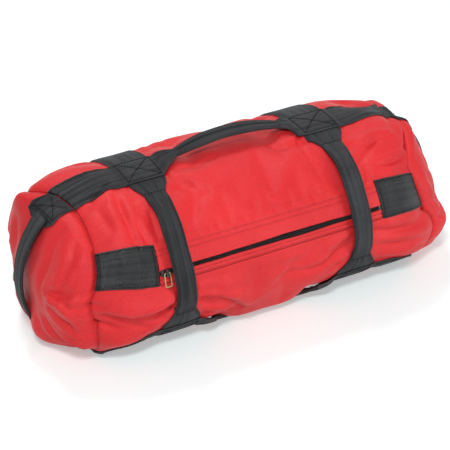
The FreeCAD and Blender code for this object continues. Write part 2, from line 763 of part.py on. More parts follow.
def stand_over_origin():
    """Shift every piece until the origin lies midway between the front grips and the back."""
    DOCUMENT.recompute()
    front = DOCUMENT.getObject("front_grip_left").Shape.BoundBox.YMin
    back = DOCUMENT.getObject("girth_strap_left").Shape.BoundBox.YMax
    for piece in PIECES:
        place = piece.Placement
        place.Base = place.Base - Vector(0, (front + back) / 2, 0)
        piece.Placement = place


def check_and_write():
    """Stop if anything failed, then write each piece to its own file."""
    DOCUMENT.recompute()
    for made in DOCUMENT.Objects:
        if "Invalid" in made.State or "Error" in made.State:
            raise RuntimeError("%s failed: %s" % (made.Label, made.State))
    for piece in PIECES:
        shape = piece.Shape
        if shape.isNull() or not shape.isValid() or not shape.Solids:
            raise RuntimeError("%s has no sound solid" % piece.Label)
    os.makedirs("parts", exist_ok=True)
    for piece in PIECES:
        piece.Shape.exportStep("parts/%s.step" % piece.Label)
        print("%-24s %.0f mm3" % (piece.Label, piece.Shape.Volume))


build_shell()
build_zip()
build_straps()
build_ends()
build_fillers()
stand_over_origin()
check_and_write()
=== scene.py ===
"""A weighted training sandbag: red coated cloth, dark webbing straps that fold into grips, and a zip along its front.

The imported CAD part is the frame. X runs along the bag, -Y is its front and Z is up.
Sizes in this file are in millimetres, and each mesh is written in metres.
"""

import logging
import math
from dataclasses import dataclass, field
from enum import Enum
from typing import Callable, Sequence, Union

import bmesh
import bpy
import numpy as np
from mathutils import Matrix, Vector


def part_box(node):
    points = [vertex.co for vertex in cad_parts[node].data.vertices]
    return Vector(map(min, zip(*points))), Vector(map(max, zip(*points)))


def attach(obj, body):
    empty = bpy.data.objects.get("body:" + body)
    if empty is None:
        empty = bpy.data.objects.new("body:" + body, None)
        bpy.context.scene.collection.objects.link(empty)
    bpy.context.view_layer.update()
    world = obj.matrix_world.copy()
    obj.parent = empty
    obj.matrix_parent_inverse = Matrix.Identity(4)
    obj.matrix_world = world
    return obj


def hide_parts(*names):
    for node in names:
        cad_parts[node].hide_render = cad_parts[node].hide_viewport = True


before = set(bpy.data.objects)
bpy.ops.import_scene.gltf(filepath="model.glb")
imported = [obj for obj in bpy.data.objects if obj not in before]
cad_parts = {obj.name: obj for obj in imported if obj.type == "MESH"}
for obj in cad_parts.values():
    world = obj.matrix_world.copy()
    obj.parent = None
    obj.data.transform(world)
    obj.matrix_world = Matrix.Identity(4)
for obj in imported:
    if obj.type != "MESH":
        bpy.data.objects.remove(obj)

logging.basicConfig(level=logging.INFO, format="%(name)s: %(message)s")
LOG = logging.getLogger("sandbag")
MM = 0.001
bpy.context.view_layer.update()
UV_NAME = "cloth_metres"
STRAP_X = 121.5  # distance of each girth strap from the middle of the bag
LIE = 0.3  # height at which sewn webbing lies over the cloth
BODY_Z = 100.0  # about half the height of the bag
Number = Union[float, np.ndarray]
Given = Union[float, int, tuple, bpy.types.NodeSocket]


class Side(Enum):
    """The two ends of the bag, seen from its front."""

    LEFT = -1
    RIGHT = 1

    @property
    def label(self) -> str:
        """Word for this end in the names of pieces."""
        return self.name.lower()


class Route(Enum):
    """The two long straps that run along the bag."""

    TOP = "top"
    BOTTOM = "bottom"


def blend(start: Number, stop: Number, share: Number) -> Number:
    """Value part of the way from start to stop.

    Args:
        start: value at share 0.
        stop: value at share 1.
        share: number or array from 0 to 1.

    Returns:
        The value, or the array of values, at share.
    """
    return start + (stop - start) * share


def ease(low: float, high: float, value: Number) -> np.ndarray:
    """Smooth step from 0 at low to 1 at high.

    Args:
        low: value at which the step starts.
        high: value at which it ends.
        value: number or array to look up.

    Returns:
        Share from 0 to 1.
    """
    share = np.clip((np.asarray(value, float) - low) / (high - low), 0.0, 1.0)
    return share * share * (3 - 2 * share)


def unit(vectors: np.ndarray) -> np.ndarray:
    """Vectors scaled to length one."""
    return vectors / np.maximum(np.linalg.norm(vectors, axis=-1, keepdims=True), 1e-9)


# The form of the filled bag


class Girth:
    """The closed section of the bag: flat underside, round corners, upright flanks, arched crown.

    Places on it are distances along the cloth, counted upwards from the top of the front flank.
    """

    def __init__(self, base: float, width: float, height: float, corner: float, side: float, shoulder: float) -> None:
        """Lays out the section.

        Args:
            base: height of its underside.
            width: front to back.
            height: underside to crown.
            corner: radius of the lower corners.
            side: upright stretch of each flank.
            shoulder: radius of the upper corners.
        """
        half = width / 2
        low = base + corner
        high = low + side
        top = base + height
        reach = half - shoulder
        arch = top - high
        crown = (reach ** 2 + arch ** 2 - shoulder ** 2) / (2 * (arch - shoulder))
        turn = math.atan2(crown - arch, reach)
        inset = half - corner
        self.parts = (
            (np.array((-reach, high)), shoulder, math.pi, -turn),
            (np.array((0.0, top - crown)), crown, math.pi - turn, 2 * turn - math.pi),
            (np.array((reach, high)), shoulder, turn, -turn),
            (np.array((half, high)), np.array((half, low)), 0.0, None),
            (np.array((inset, low)), corner, 0.0, -math.pi / 2),
            (np.array((inset, base)), np.array((-inset, base)), -math.pi / 2, None),
            (np.array((-inset, low)), corner, -math.pi / 2, -math.pi / 2),
            (np.array((-half, low)), np.array((-half, high)), math.pi, None),
        )
        self.lengths = [self._length(part) for part in self.parts]
        self.total = sum(self.lengths)
        self.crown_place = self.lengths[0] + self.lengths[1] / 2

    @staticmethod
    def _length(part: tuple) -> float:
        """Length of one arc or straight stretch."""
        return float(np.linalg.norm(part[1] - part[0])) if part[3] is None else abs(part[3]) * part[1]

    def points(self, places: np.ndarray) -> np.ndarray:
        """Points of the section.

        Args:
            places: distances along the girth.

        Returns:
            Array of (y, z), one row for each place.
        """
        places = np.mod(places, self.total)
        found = np.zeros((len(places), 2))
        begin = 0.0
        for part, length in zip(self.parts, self.lengths):
            here = (places >= begin - 1e-9) & (places <= begin + length + 1e-9)
            along = places[here] - begin
            if part[3] is None:
                found[here] = part[0] + np.outer(along / length, part[1] - part[0])
            else:
                angle = part[2] - along / part[1]
                found[here] = part[0] + part[1] * np.stack((np.cos(angle), np.sin(angle)), -1)
            begin += length
        return found

    def outward(self, place: float) -> np.ndarray:
        """Outward direction (y, z) of the section at a place."""
        before, after = self.points(np.array((place - 0.5, place + 0.5)))
        return unit(np.array((-(after - before)[1], (after - before)[0])))


@dataclass(frozen=True)
class BagForm:
    """The form of the filled shell, drawn in towards its end seams."""

    seam: float = 225.0
    straight: float = 162.0
    width: tuple = (252.0, 206.0)
    height: tuple = (199.0, 184.0)
    lift: tuple = (0.0, 1.5)
    corner: tuple = (95.0, 62.0)
    side: tuple = (15.0, 50.0)
    shoulder: tuple = (70.0, 58.0)
    bulge: tuple = (52.5, 44.0)
    fullness: float = 2.5
    sag: float = 58.0
    underside: float = 2.1
    centre: float = field(default_factory=lambda: float(sum(v.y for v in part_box("body_panel"))) / 2 / MM)
    left_seam: tuple = ((-104, -2), (-60, 3), (-30, 6), (-8, 10), (4, 11), (20, 4), (50, -4), (76, -8), (104, -10),
                        (132, -11), (160, -7), (185, -2), (205, 10), (220, 20), (245, 18), (300, -4), (360, -7),
                        (420, 6), (470, 10), (540, 2))
    right_seam: tuple = ((-104, 2), (-70, 14), (-42, 20), (-28, 15), (-4, 0), (30, -9), (60, -14), (92, -3), (120, 6),
                         (145, 8), (170, 3), (190, 6), (212, 16), (245, 16), (300, -4), (360, -7), (420, 6),
                         (470, 10), (540, 2))

    def section(self, x: float) -> Girth:
        """Girth of the bag at a distance from its middle.

        Args:
            x: the distance.

        Returns:
            The section there.
        """
        along = float(np.clip((abs(x) - self.straight) / (self.seam - self.straight), 0.0, 1.0))
        share = along ** 2
        return Girth(self.underside + blend(*self.lift, share), *(
            blend(*pair, share) for pair in (self.width, self.height, self.corner, self.side, self.shoulder)))

    @property
    def girth(self) -> float:
        """Length of the middle girth."""
        return self.section(0.0).total

    @property
    def crown(self) -> float:
        """Place of the crown on the middle girth."""
        return self.section(0.0).crown_place

    def stretch(self, x: Number) -> np.ndarray:
        """How much longer the middle girth is than another one.

        Args:
            x: distances of the other girths from the middle.

        Returns:
            The lengths' ratio at each x.
        """
        ends = self.girth / self.section(self.seam).total
        along = np.clip((np.abs(np.asarray(x, float)) - self.straight) / (self.seam - self.straight), 0.0, 1.0)
        return blend(1.0, ends, along ** 2)

    def seam_shift(self, side: Side, places: np.ndarray) -> np.ndarray:
        """How far the pillow corners push an end seam outwards, or the zip pulls it in.

        Args:
            side: which end.
            places: places on the middle girth.

        Returns:
            Distance at each place, negative where the seam is pulled in.
        """
        knots = np.array(self.left_seam if side is Side.LEFT else self.right_seam, float)
        turns = np.mod(places - knots[0, 0], self.girth) + knots[0, 0]
        return np.interp(turns, np.append(knots[:, 0], knots[0, 0] + self.girth), np.append(knots[:, 1], knots[0, 1]))

    def surface(self, xs: np.ndarray, places: np.ndarray) -> np.ndarray:
        """Points of the plain filled shell.

        Args:
            xs: distances from the middle of the bag.
            places: places on the middle girth.

        Returns:
            Array of points, rows along the bag and columns round it.
        """
        grid = np.zeros((len(xs), len(places), 3))
        for row, x in enumerate(xs):
            girth = self.section(x)
            local = girth.crown_place + (places - self.crown) * girth.total / self.girth
            grid[row, :, 1:] = girth.points(local)
            side = Side.LEFT if x < 0 else Side.RIGHT
            grid[row, :, 0] = x + side.value * self.seam_shift(side, places) * ease(120.0, self.seam, abs(x))
        grid[..., 1] += self.centre
        return grid


@dataclass(frozen=True)
class Crease:
    """A fold in the cloth along a line of (along the bag, place) points.

    It is deepest at the share peak of its length, and its roll lies on the left of the line.
    """

    line: tuple
    depth: float
    width: float
    roll: float = 0.55
    peak: float = 0.5

    def lowered(self, across: np.ndarray, up: np.ndarray) -> np.ndarray:
        """How far the cloth stands out or in because of this fold.

        Args:
            across: first coordinate of each point of the cloth.
            up: second coordinate of each point.

        Returns:
            Distance along the normal, negative in the fold and positive on its roll.
        """
        points = np.array(self.line, float)
        steps = np.diff(points, axis=0)
        lengths = np.linalg.norm(steps, axis=1)
        whole = lengths.sum()
        nearest = np.full(across.shape, 1e9)
        share = np.zeros(across.shape)
        signed = np.zeros(across.shape)
        gone = 0.0
        for start, step, length in zip(points[:-1], steps, lengths):
            dx, dy = across - start[0], up - start[1]
            along = np.clip((dx * step[0] + dy * step[1]) / length ** 2, 0.0, 1.0)
            gap = np.hypot(dx - along * step[0], dy - along * step[1])
            closer = gap < nearest
            nearest = np.where(closer, gap, nearest)
            share = np.where(closer, (gone + along * length) / whole, share)
            signed = np.where(closer, (step[0] * dy - step[1] * dx) / length, signed)
            gone += length
        share = share ** (math.log(0.5) / math.log(self.peak))
        fade = np.sin(np.pi * np.clip(share, 0.0, 1.0)) ** 0.6
        valley = 0.55 * np.exp(-(nearest / self.width) ** 2) + 0.45 * np.exp(-nearest / (0.55 * self.width))
        lip = (np.exp(-((signed - 1.9 * self.width) / (1.3 * self.width)) ** 2)
               * np.exp(-(nearest / (4 * self.width)) ** 2))
        return self.depth * fade * (self.roll * lip - valley)


@dataclass(frozen=True)
class Swell:
    """A soft rise where the filling pushes the cloth out, or a sag where it is slack."""

    x: float
    place: float
    reach: tuple
    height: float

    def raised(self, x: np.ndarray, places: np.ndarray) -> np.ndarray:
        """Height of the swell at each point."""
        return self.height * np.exp(-((x - self.x) / self.reach[0]) ** 2 - ((places - self.place) / self.reach[1]) ** 2)


def from_strap(x: np.ndarray) -> np.ndarray:
    """Distance from the middle of the nearer girth strap."""
    return np.abs(np.abs(x) - STRAP_X)


def lowest_near(height: np.ndarray) -> np.ndarray:
    """Evens out heights downwards.

    Args:
        height: a grid of heights.

    Returns:
        The lowest height within two steps of each point.
    """
    for axis in (0, 1):
        height = np.min([np.roll(height, step, axis) for step in range(-2, 3)], axis=0)
    return height


def limited(height: np.ndarray, deepest: float) -> np.ndarray:
    """Heights whose hollows level off towards a deepest one."""
    return np.where(height < 0, deepest * np.tanh(height / deepest), height)


def smooth_noise(seed: int, across: np.ndarray, up: np.ndarray, size: float) -> np.ndarray:
    """Gentle bumps of about one size, the same on every run.

    Args:
        seed: picks the pattern.
        across: first coordinate of each point.
        up: second coordinate of each point.
        size: distance between bumps.

    Returns:
        Heights from about -1 to 1.
    """
    dice = np.random.default_rng(seed)
    total = np.zeros(across.shape)
    for _ in range(9):
        angle, phase, scale = dice.uniform(0, math.tau), dice.uniform(0, math.tau), dice.uniform(0.7, 1.5)
        total += np.sin((across * math.cos(angle) + up * math.sin(angle)) * math.tau / (size * scale) + phase)
    return total / 4.5


def four_taps(share: np.ndarray) -> np.ndarray:
    """Catmull-Rom weights of four neighbours, a share of the way from the second to the third."""
    return 0.5 * np.stack((-share + 2 * share ** 2 - share ** 3, 2 - 5 * share ** 2 + 3 * share ** 3,
                           share + 4 * share ** 2 - 3 * share ** 3, -share ** 2 + share ** 3), -1)


def sample_grid(grid: np.ndarray, rows: np.ndarray, columns: np.ndarray, wrap: bool) -> np.ndarray:
    """Smooth values between the points of a grid.

    Args:
        grid: values, rows by columns by numbers.
        rows: fractional row of each wanted point.
        columns: fractional column of each wanted point.
        wrap: whether the last column is beside the first.

    Returns:
        Values in the shape of rows, with the grid's last axis.
    """
    count, width = grid.shape[:2]
    rows, columns = np.broadcast_arrays(np.asarray(rows, float), np.asarray(columns, float))
    low_row = np.clip(np.floor(rows).astype(int), 0, count - 2)
    low_column = np.floor(columns).astype(int)
    if not wrap:
        low_column = np.clip(low_column, 0, width - 2)
    down, over = four_taps(rows - low_row), four_taps(columns - low_column)
    total = np.zeros(rows.shape + grid.shape[2:])
    for i in range(4):
        row = np.clip(low_row + i - 1, 0, count - 1)
        for j in range(4):
            column = low_column + j - 1
            column = column % width if wrap else np.clip(column, 0, width - 1)
            total += (down[..., i] * over[..., j])[..., None] * grid[row, column]
    return total


class Skin:
    """The cloth of the filled bag, as a grid along and round it and a grid on each end."""

    ROWS = 77
    QUARTER = 31
    ZIP = 21.0
    BODY_TRAVEL, END_TRAVEL = 7.0, 4.0  # how far a point may move while the cloth settles
    BODY_DEPTH, END_DEPTH = 14.0, 9.0  # where the deepest folds level off
    GROOVE = (1.2, 0.6, 0.4)  # how far an end seam sinks and shifts inwards, and its neighbours sink

    def __init__(self, form: BagForm) -> None:
        """Builds the plain shell, settles it as cloth and adds its folds.

        Args:
            form: the plain filled form.
        """
        self.form = form
        self.columns = 4 * self.QUARTER
        self.step = form.girth / self.columns
        self.first = form.crown - 3 * form.girth / 8
        self.xs = np.linspace(-form.seam, form.seam, self.ROWS)
        self.places = self.first + np.arange(self.columns) * self.step
        self.body = form.surface(self.xs, self.places)
        self._soften()
        self.ends = {side: self._end_grid(side) for side in Side}
        self._settle()
        self._fold()

    def spots(self) -> list:
        """Distances from the middle and places of all points of the body."""
        return np.meshgrid(self.xs, self.places, indexing="ij")

    def _end_grid(self, side: Side) -> np.ndarray:
        """Points of one end panel, spanned between the four quarters of its seam ring.

        Args:
            side: which end.

        Returns:
            Square grid of points.
        """
        row, bulge = (0, self.form.bulge[0]) if side is Side.LEFT else (-1, self.form.bulge[1])
        grid = spanned(self.body[row], 0.55)
        grid[..., 0] += side.value * bulge * self._dome(self.body[row], grid)
        return grid

    def _dome(self, ring: np.ndarray, grid: np.ndarray) -> np.ndarray:
        """Rounds an end panel about a middle that sags low.

        Args:
            ring: its seam ring.
            grid: its points, still flat.

        Returns:
            Share of its full bulge that it has at each point.
        """
        form = self.form
        hub = np.array((form.centre, form.underside + form.lift[1] + form.sag))
        rim, spots = ring[:, 1:] - hub, grid[..., 1:] - hub
        reach = np.interp(np.arctan2(spots[..., 1], spots[..., 0]), np.arctan2(rim[:, 1], rim[:, 0]),
                          np.hypot(rim[:, 0], rim[:, 1]), period=math.tau)
        share = np.clip(np.hypot(spots[..., 0], spots[..., 1]) / reach, 0, 1)
        return (1 - share ** form.fullness) ** (1 / form.fullness)

    def _soften(self) -> None:
        """Gives the plain shell the slow swells of a sack that sand fills unevenly."""
        x, q = self.spots()
        free = ease(6.0, 60.0, from_strap(x)) * self._off_zip(x, q)
        swell = smooth_noise(5, x, q, 150.0) * 1.6 + smooth_noise(8, x, q, 70.0) * 0.8
        lifted = np.clip((self.body[..., 2] - 20.0) / 30.0, 0.0, 1.0)
        self._push(free * (swell * lifted + sum(bump.raised(x, self._near(q)) for bump in SWELLS)))

    def _push(self, height: np.ndarray) -> None:
        """Moves the body's points out by a height, but not below its underside."""
        self.body += self.normals(self.body, True) * height[..., None]
        self.body[..., 2] = np.maximum(self.body[..., 2], self.form.underside)

    def _off_zip(self, x: np.ndarray, q: np.ndarray) -> np.ndarray:
        """One away from the zip and its flap, nought on them."""
        return np.maximum(ease(30.0, 60.0, np.abs(self._near(q) - self.ZIP)), ease(158.0, 190.0, np.abs(x)))

    def _near(self, q: np.ndarray) -> np.ndarray:
        """Places as numbers that run unbroken round the zip."""
        return np.mod(q - self.ZIP + self.form.girth / 2, self.form.girth) - self.form.girth / 2 + self.ZIP

    @staticmethod
    def normals(grid: np.ndarray, wrap: bool) -> np.ndarray:
        """Outward normals of a grid whose rows run along the bag.

        Args:
            grid: its points.
            wrap: whether the last column is beside the first.

        Returns:
            The normal at each point.
        """
        along = np.gradient(grid, axis=0)
        if wrap:
            around = (np.roll(grid, -1, axis=1) - np.roll(grid, 1, axis=1)) / 2
        else:
            around = np.gradient(grid, axis=1)
        return unit(np.cross(along, around))

    def _settle(self) -> None:
        """Runs the shell as pressed cloth, held where straps and the zip are sewn to it."""
        body_count = self.ROWS * self.columns
        rest, faces, inner = capped(self.body, [self.ends[side] for side in Side])
        shell = mesh_object("settling_shell", rest, faces)
        held = self._held(rest, body_count)
        moved = run_cloth(shell, held, self._seam_weights(body_count, len(rest)))
        shift = moved - rest
        reach = np.linalg.norm(shift, axis=1, keepdims=True)
        cap = np.full((len(rest), 1), self.END_TRAVEL)
        cap[:body_count] = self.BODY_TRAVEL
        shift *= np.tanh(reach / cap) * cap / np.maximum(reach, 1e-9)
        rest = rest + shift
        rest[:, 2] = np.maximum(rest[:, 2], self.form.underside)
        self.body = rest[:body_count].reshape(self.ROWS, self.columns, 3)
        for side, ids in zip(Side, inner):
            self.ends[side] = rest[ids]

    def _held(self, rest: np.ndarray, body_count: int) -> np.ndarray:
        """How firmly the shell is held while it settles: under straps, beside the zip and on the floor.

        Args:
            rest: its points.
            body_count: how many of them belong to the body.

        Returns:
            Weight of each point, 0 to 1.
        """
        x, q = self.spots()
        straps = 1 - ease(22.0, 34.0, from_strap(x))
        slot = (1 - ease(24.0, 34.0, np.abs(self._near(q) - self.ZIP))) * (1 - ease(226.0, 232.0, np.abs(x)))
        crown = (1 - ease(20.0, 32.0, np.abs(q - self.form.crown))) * ease(90.0, 97.0, np.abs(x))
        held = np.zeros(len(rest))
        held[:body_count] = np.maximum.reduce((straps, slot, crown)).ravel()
        return np.maximum(held, 1 - ease(2.0, 10.0, rest[:, 2] - self.form.underside))

    def _seam_weights(self, body_count: int, count: int) -> np.ndarray:
        """One on the two seam rings, which draw tight, and nought elsewhere."""
        numbers = np.arange(count)
        return (numbers < self.columns) + 1.0 * ((numbers >= body_count - self.columns) & (numbers < body_count))

    def _fold(self) -> None:
        """Presses the folds seen in the filled bag into the cloth, on a finer grid."""
        rows = np.linspace(0, self.ROWS - 1, 2 * self.ROWS - 1)
        columns = np.arange(2 * self.columns) / 2
        self.body = sample_grid(self.body, rows[:, None], columns[None, :], True)
        self.xs = np.linspace(-self.form.seam, self.form.seam, len(rows))
        self.step /= 2
        self.places = self.first + np.arange(2 * self.columns) * self.step
        x, q = self.spots()
        near, beside = self._near(q), from_strap(x)
        height = limited(sum(crease.lowered(x, near) for crease in BODY_FOLDS), self.BODY_DEPTH)
        on_grip = ease(-44.0, -30.0, near) * (1 - ease(112.0, 130.0, near))
        calm = blend(ease(18.0, 32.0, beside), ease(8.0, 18.0, beside), on_grip)
        off_flap = np.maximum(ease(16.0, 30.0, np.abs(near - self.ZIP)), ease(150.0, 160.0, np.abs(x)))
        height = height * calm * off_flap
        height += smooth_noise(12, x, q, 26.0) * 0.28 * off_flap
        self._push(height - self._strap_dents(x, near))
        for side in Side:
            self._fold_end(side)

    def _strap_dents(self, x: np.ndarray, near: np.ndarray) -> np.ndarray:
        """How far the tight girth straps press into the cloth beside them."""
        gripped = ease(125.0, 150.0, near) + (1 - ease(-62.0, -40.0, near))
        return np.exp(-((from_strap(x) - 27.0) / 5.0) ** 2) * np.clip(gripped, 0, 1)

    def _fold_end(self, side: Side) -> None:
        """Presses the folds of one end panel into it, and joins it to the body.

        Args:
            side: which end.
        """
        steps = np.linspace(0, self.QUARTER, 2 * self.QUARTER + 1)
        grid = sample_grid(self.ends[side], steps[:, None], steps[None, :], False)
        y, z = grid[..., 1], grid[..., 2]
        height = limited(sum(crease.lowered(y, z) for crease in END_FOLDS[side]), self.END_DEPTH)
        height = height + smooth_noise(20 + side.value, y, z, 30.0) * 0.4
        height = height + sum(bump.raised(y, z) for bump in END_SWELLS[side])
        inwards = np.minimum(np.arange(len(steps)), np.arange(len(steps))[::-1])
        height = height * ease(-1.0, 4.0, np.minimum.outer(inwards, inwards))
        grid = grid + self.normals(grid, False) * side.value * height[..., None]
        self.ends[side] = self._join_ring(side, grid)

    def _join_ring(self, side: Side, grid: np.ndarray) -> np.ndarray:
        """Puts the rim of an end panel on the seam ring of the body, and draws both in to one groove.

        Args:
            side: which end.
            grid: points of the panel.

        Returns:
            The same points, their rim moved to the ring.
        """
        row, beside = (0, 1) if side is Side.LEFT else (-1, -2)
        ring = self.body[row].copy()
        pull = unit((np.array((0.0, self.form.centre, BODY_Z)) - ring) * np.array((0, 1, 1)))
        sunk, shifted, nearby = self.GROOVE
        ring += sunk * pull - np.array((side.value * shifted, 0, 0))
        self.body[row] = ring
        self.body[beside] += nearby * pull
        return rimmed(grid, ring)

    def at(self, x: Number, place: Number, offset: Number = 0.0) -> np.ndarray:
        """Points on or over the cloth of the body.

        Args:
            x: distances from the middle of the bag.
            place: places on the middle girth.
            offset: distances above the cloth.

        Returns:
            Array of points in the shape of the arguments.
        """
        x, place, offset = np.broadcast_arrays(*(np.asarray(v, float) for v in (x, place, offset)))
        rows = (np.clip(x, self.xs[0], self.xs[-1]) - self.xs[0]) / (self.xs[1] - self.xs[0])
        columns = (place - self.first) / self.step
        half, body = 1.4, self.body
        along = sample_grid(body, rows + half, columns, True) - sample_grid(body, rows - half, columns, True)
        around = sample_grid(body, rows, columns + half, True) - sample_grid(body, rows, columns - half, True)
        return sample_grid(body, rows, columns, True) + unit(np.cross(along, around)) * offset[..., None]

    def on_end(self, side: Side, y: np.ndarray, away: np.ndarray, offset: Number, above: bool) -> np.ndarray:
        """Points over one end panel, counted along its cloth from the seam.

        Args:
            side: which end.
            y: distances to the back of the bag's middle, one row.
            away: distances down from the seam above, or up from the one below, one column.
            offset: distances above the cloth.
            above: whether to count from the seam above.

        Returns:
            Array of points, rows along away and columns along y.
        """
        grid, n = self.ends[side], 2 * self.QUARTER
        levels = np.linspace(0, n, 400)
        line = sample_grid(grid, np.full(len(levels), n / 2), levels, False)
        if above:
            line, levels = line[::-1], levels[::-1]
        gone = np.append(0, np.cumsum(np.linalg.norm(np.diff(line, axis=0), axis=1)))
        rows = np.interp(np.ravel(away), gone, levels)
        turns = np.linspace(0, n, 120)
        spots = np.zeros((len(rows), y.shape[1], 2))
        for number, row in enumerate(rows):
            across = sample_grid(grid, turns, np.full(len(turns), row), False)[:, 1]
            spots[number, :, 0] = np.interp(self.form.centre + y[min(number, len(y) - 1)], across, turns)
            spots[number, :, 1] = row
        turn, level, half = spots[..., 0], spots[..., 1], 1.2
        over = sample_grid(grid, turn + half, level, False) - sample_grid(grid, turn - half, level, False)
        up = (sample_grid(grid, turn, np.clip(level + half, 0, n), False)
              - sample_grid(grid, turn, np.clip(level - half, 0, n), False))
        found = sample_grid(grid, turn, level, False)
        return found + side.value * unit(np.cross(over, up)) * np.asarray(offset, float)[..., None]


# Folds of the filled bag: (along the bag, place) on the body, (front to back, height) on the ends

SWELLS = tuple(Swell(*row) for row in (
    (-190.0, 214.0, (34.0, 26.0), 7.0), (150.0, 212.0, (22.0, 24.0), 6.0), (198.0, 216.0, (34.0, 28.0), -15.0),
    (222.0, 172.0, (20.0, 24.0), -3.0), (-222.0, 214.0, (22.0, 30.0), 4.0), (0.0, -103.0, (24.0, 16.0), 7.5),
    (-36.0, -104.0, (24.0, 16.0), 8.5), (36.0, -104.0, (24.0, 16.0), 8.5), (-184.0, 96.0, (22.0, 34.0), 3.0),
    (188.0, -60.0, (30.0, 24.0), 4.0), (-194.0, -70.0, (34.0, 14.0), 7.0), (-182.0, -8.0, (34.0, 14.0), 5.0),
    (-152.0, -54.0, (20.0, 9.0), 5.0), (0.0, 92.0, (60.0, 30.0), 2.0), (-52.0, 170.0, (17.0, 28.0), -1.8),
    (54.0, 168.0, (17.0, 28.0), -2.2),
))
BODY_FOLDS = tuple(Crease(*row) for row in (
    (((-226, -14), (-206, -26), (-188, -34), (-168, -38), (-150, -35), (-130, -30), (-110, -28)), 18.0, 9.0, 0.6, 0.6),
    (((-160, -38), (-142, -33), (-116, -29)), 9.0, 4.5, 0.3, 0.65),
    (((-238, -22), (-222, -34), (-206, -44), (-194, -48)), 9.0, 5.0, 0.35, 0.35),
    (((-188, -44), (-174, -52), (-160, -56)), 6.0, 4.5, 0.3), (((-236, 10), (-224, 2), (-208, -4)), 5.0, 4.5, 0.4),
    (((-128, -36), (-104, -36), (-80, -42), (-58, -56), (-38, -82)), 14.0, 8.5, 0.6, 0.35),
    (((-112, -29), (-94, -32), (-74, -38)), 7.0, 4.5, 0.3, 0.35),
    (((-110, -18), (-88, -20), (-62, -30), (-40, -32)), 5.0, 6.0, 0.5, 0.3),
    (((-100, -66), (-74, -72), (-50, -84)), 5.0, 6.0),
    (((-10, -50), (20, -39), (46, -41), (68, -38), (88, -25), (116, -18)), 9.5, 7.5, 0.5, 0.72),
    (((50, -24), (78, -16), (112, -8)), 5.5, 5.0, 0.5, 0.7), (((60, -62), (84, -50), (112, -42)), 5.0, 6.0, 0.5, 0.7),
    (((-166, 158), (-184, 150), (-208, 141)), 4.5, 4.0), (((-172, 138), (-175, 104), (-172, 66)), 6.0, 6.0, 0.6),
    (((-162, 98), (-162, 74), (-156, 54)), 4.5, 4.0), (((-136, 104), (-139, 86), (-142, 60)), 4.5, 4.5),
    (((-178, 78), (-172, 64), (-168, 54)), 3.0, 3.5), (((-204, 128), (-200, 104), (-196, 84)), 4.0, 7.0),
    (((-104, 132), (-82, 122), (-66, 108), (-56, 90)), 4.5, 7.0, 0.5, 0.35),
    (((-96, 64), (-84, 90), (-60, 104)), 3.0, 8.0), (((134, 80), (152, 90), (166, 102), (184, 112)), 6.0, 5.0),
    (((138, 114), (158, 104), (186, 111), (208, 104)), 5.0, 5.5), (((138, 50), (149, 66), (148, 82)), 4.5, 4.0),
    (((160, 72), (190, 73), (224, 79)), 6.0, 4.5, 0.6, 0.6), (((231, 128), (227, 102), (217, 78)), 6.0, 5.0),
    (((222, 166), (210, 132), (206, 114)), 4.5, 6.0),
    (((126, -8), (168, -19), (200, -22), (226, -6)), 8.0, 8.0, 0.5, 0.4),
    (((218, 0), (232, -10), (246, -26)), 5.0, 4.0), (((130, -34), (172, -42), (216, -50)), 6.0, 7.5, 0.5, 0.4),
    (((140, -66), (176, -70), (214, -64)), 5.0, 7.0),
    (((78, 168), (88, 152), (96, 138), (108, 128)), 6.0, 5.0, 0.4, 0.6),
    (((92, 158), (86, 142), (82, 126)), 4.0, 4.0), (((70, 138), (94, 139), (116, 131)), 4.5, 4.5),
    (((40, 150), (62, 138), (92, 132)), 3.5, 6.0), (((-20, 152), (-52, 146), (-84, 150)), 3.5, 7.0),
    (((-20, -18), (20, -22), (60, -24)), 2.0, 8.0), (((-210, 228), (-180, 236), (-150, 232)), 4.5, 8.0),
    (((210, 232), (180, 240), (150, 236)), 4.5, 8.0), (((-90, 262), (-50, 276), (0, 270), (46, 282)), 5.0, 9.0),
    (((92, 300), (52, 318), (6, 312)), 5.0, 9.0), (((-96, 222), (-70, 236), (-30, 234)), 4.0, 8.0),
    (((96, 214), (66, 228), (20, 226)), 4.0, 8.0), (((-214, 300), (-184, 296), (-152, 306)), 7.0, 7.0),
    (((214, 304), (184, 298), (152, 308)), 7.0, 7.0), (((-210, 346), (-176, 352), (-150, 344)), 6.0, 7.0),
    (((212, 350), (178, 356), (150, 346)), 6.0, 7.0),
))
END_SWELLS = {
    Side.LEFT: (Swell(-68.0, 14.0, (28.0, 20.0), -15.0), Swell(-16.0, 24.0, (26.0, 18.0), 7.0)),
    Side.RIGHT: (Swell(-46.0, 78.0, (46.0, 40.0), -6.0), Swell(-60.0, 150.0, (40.0, 24.0), -3.0)),
}
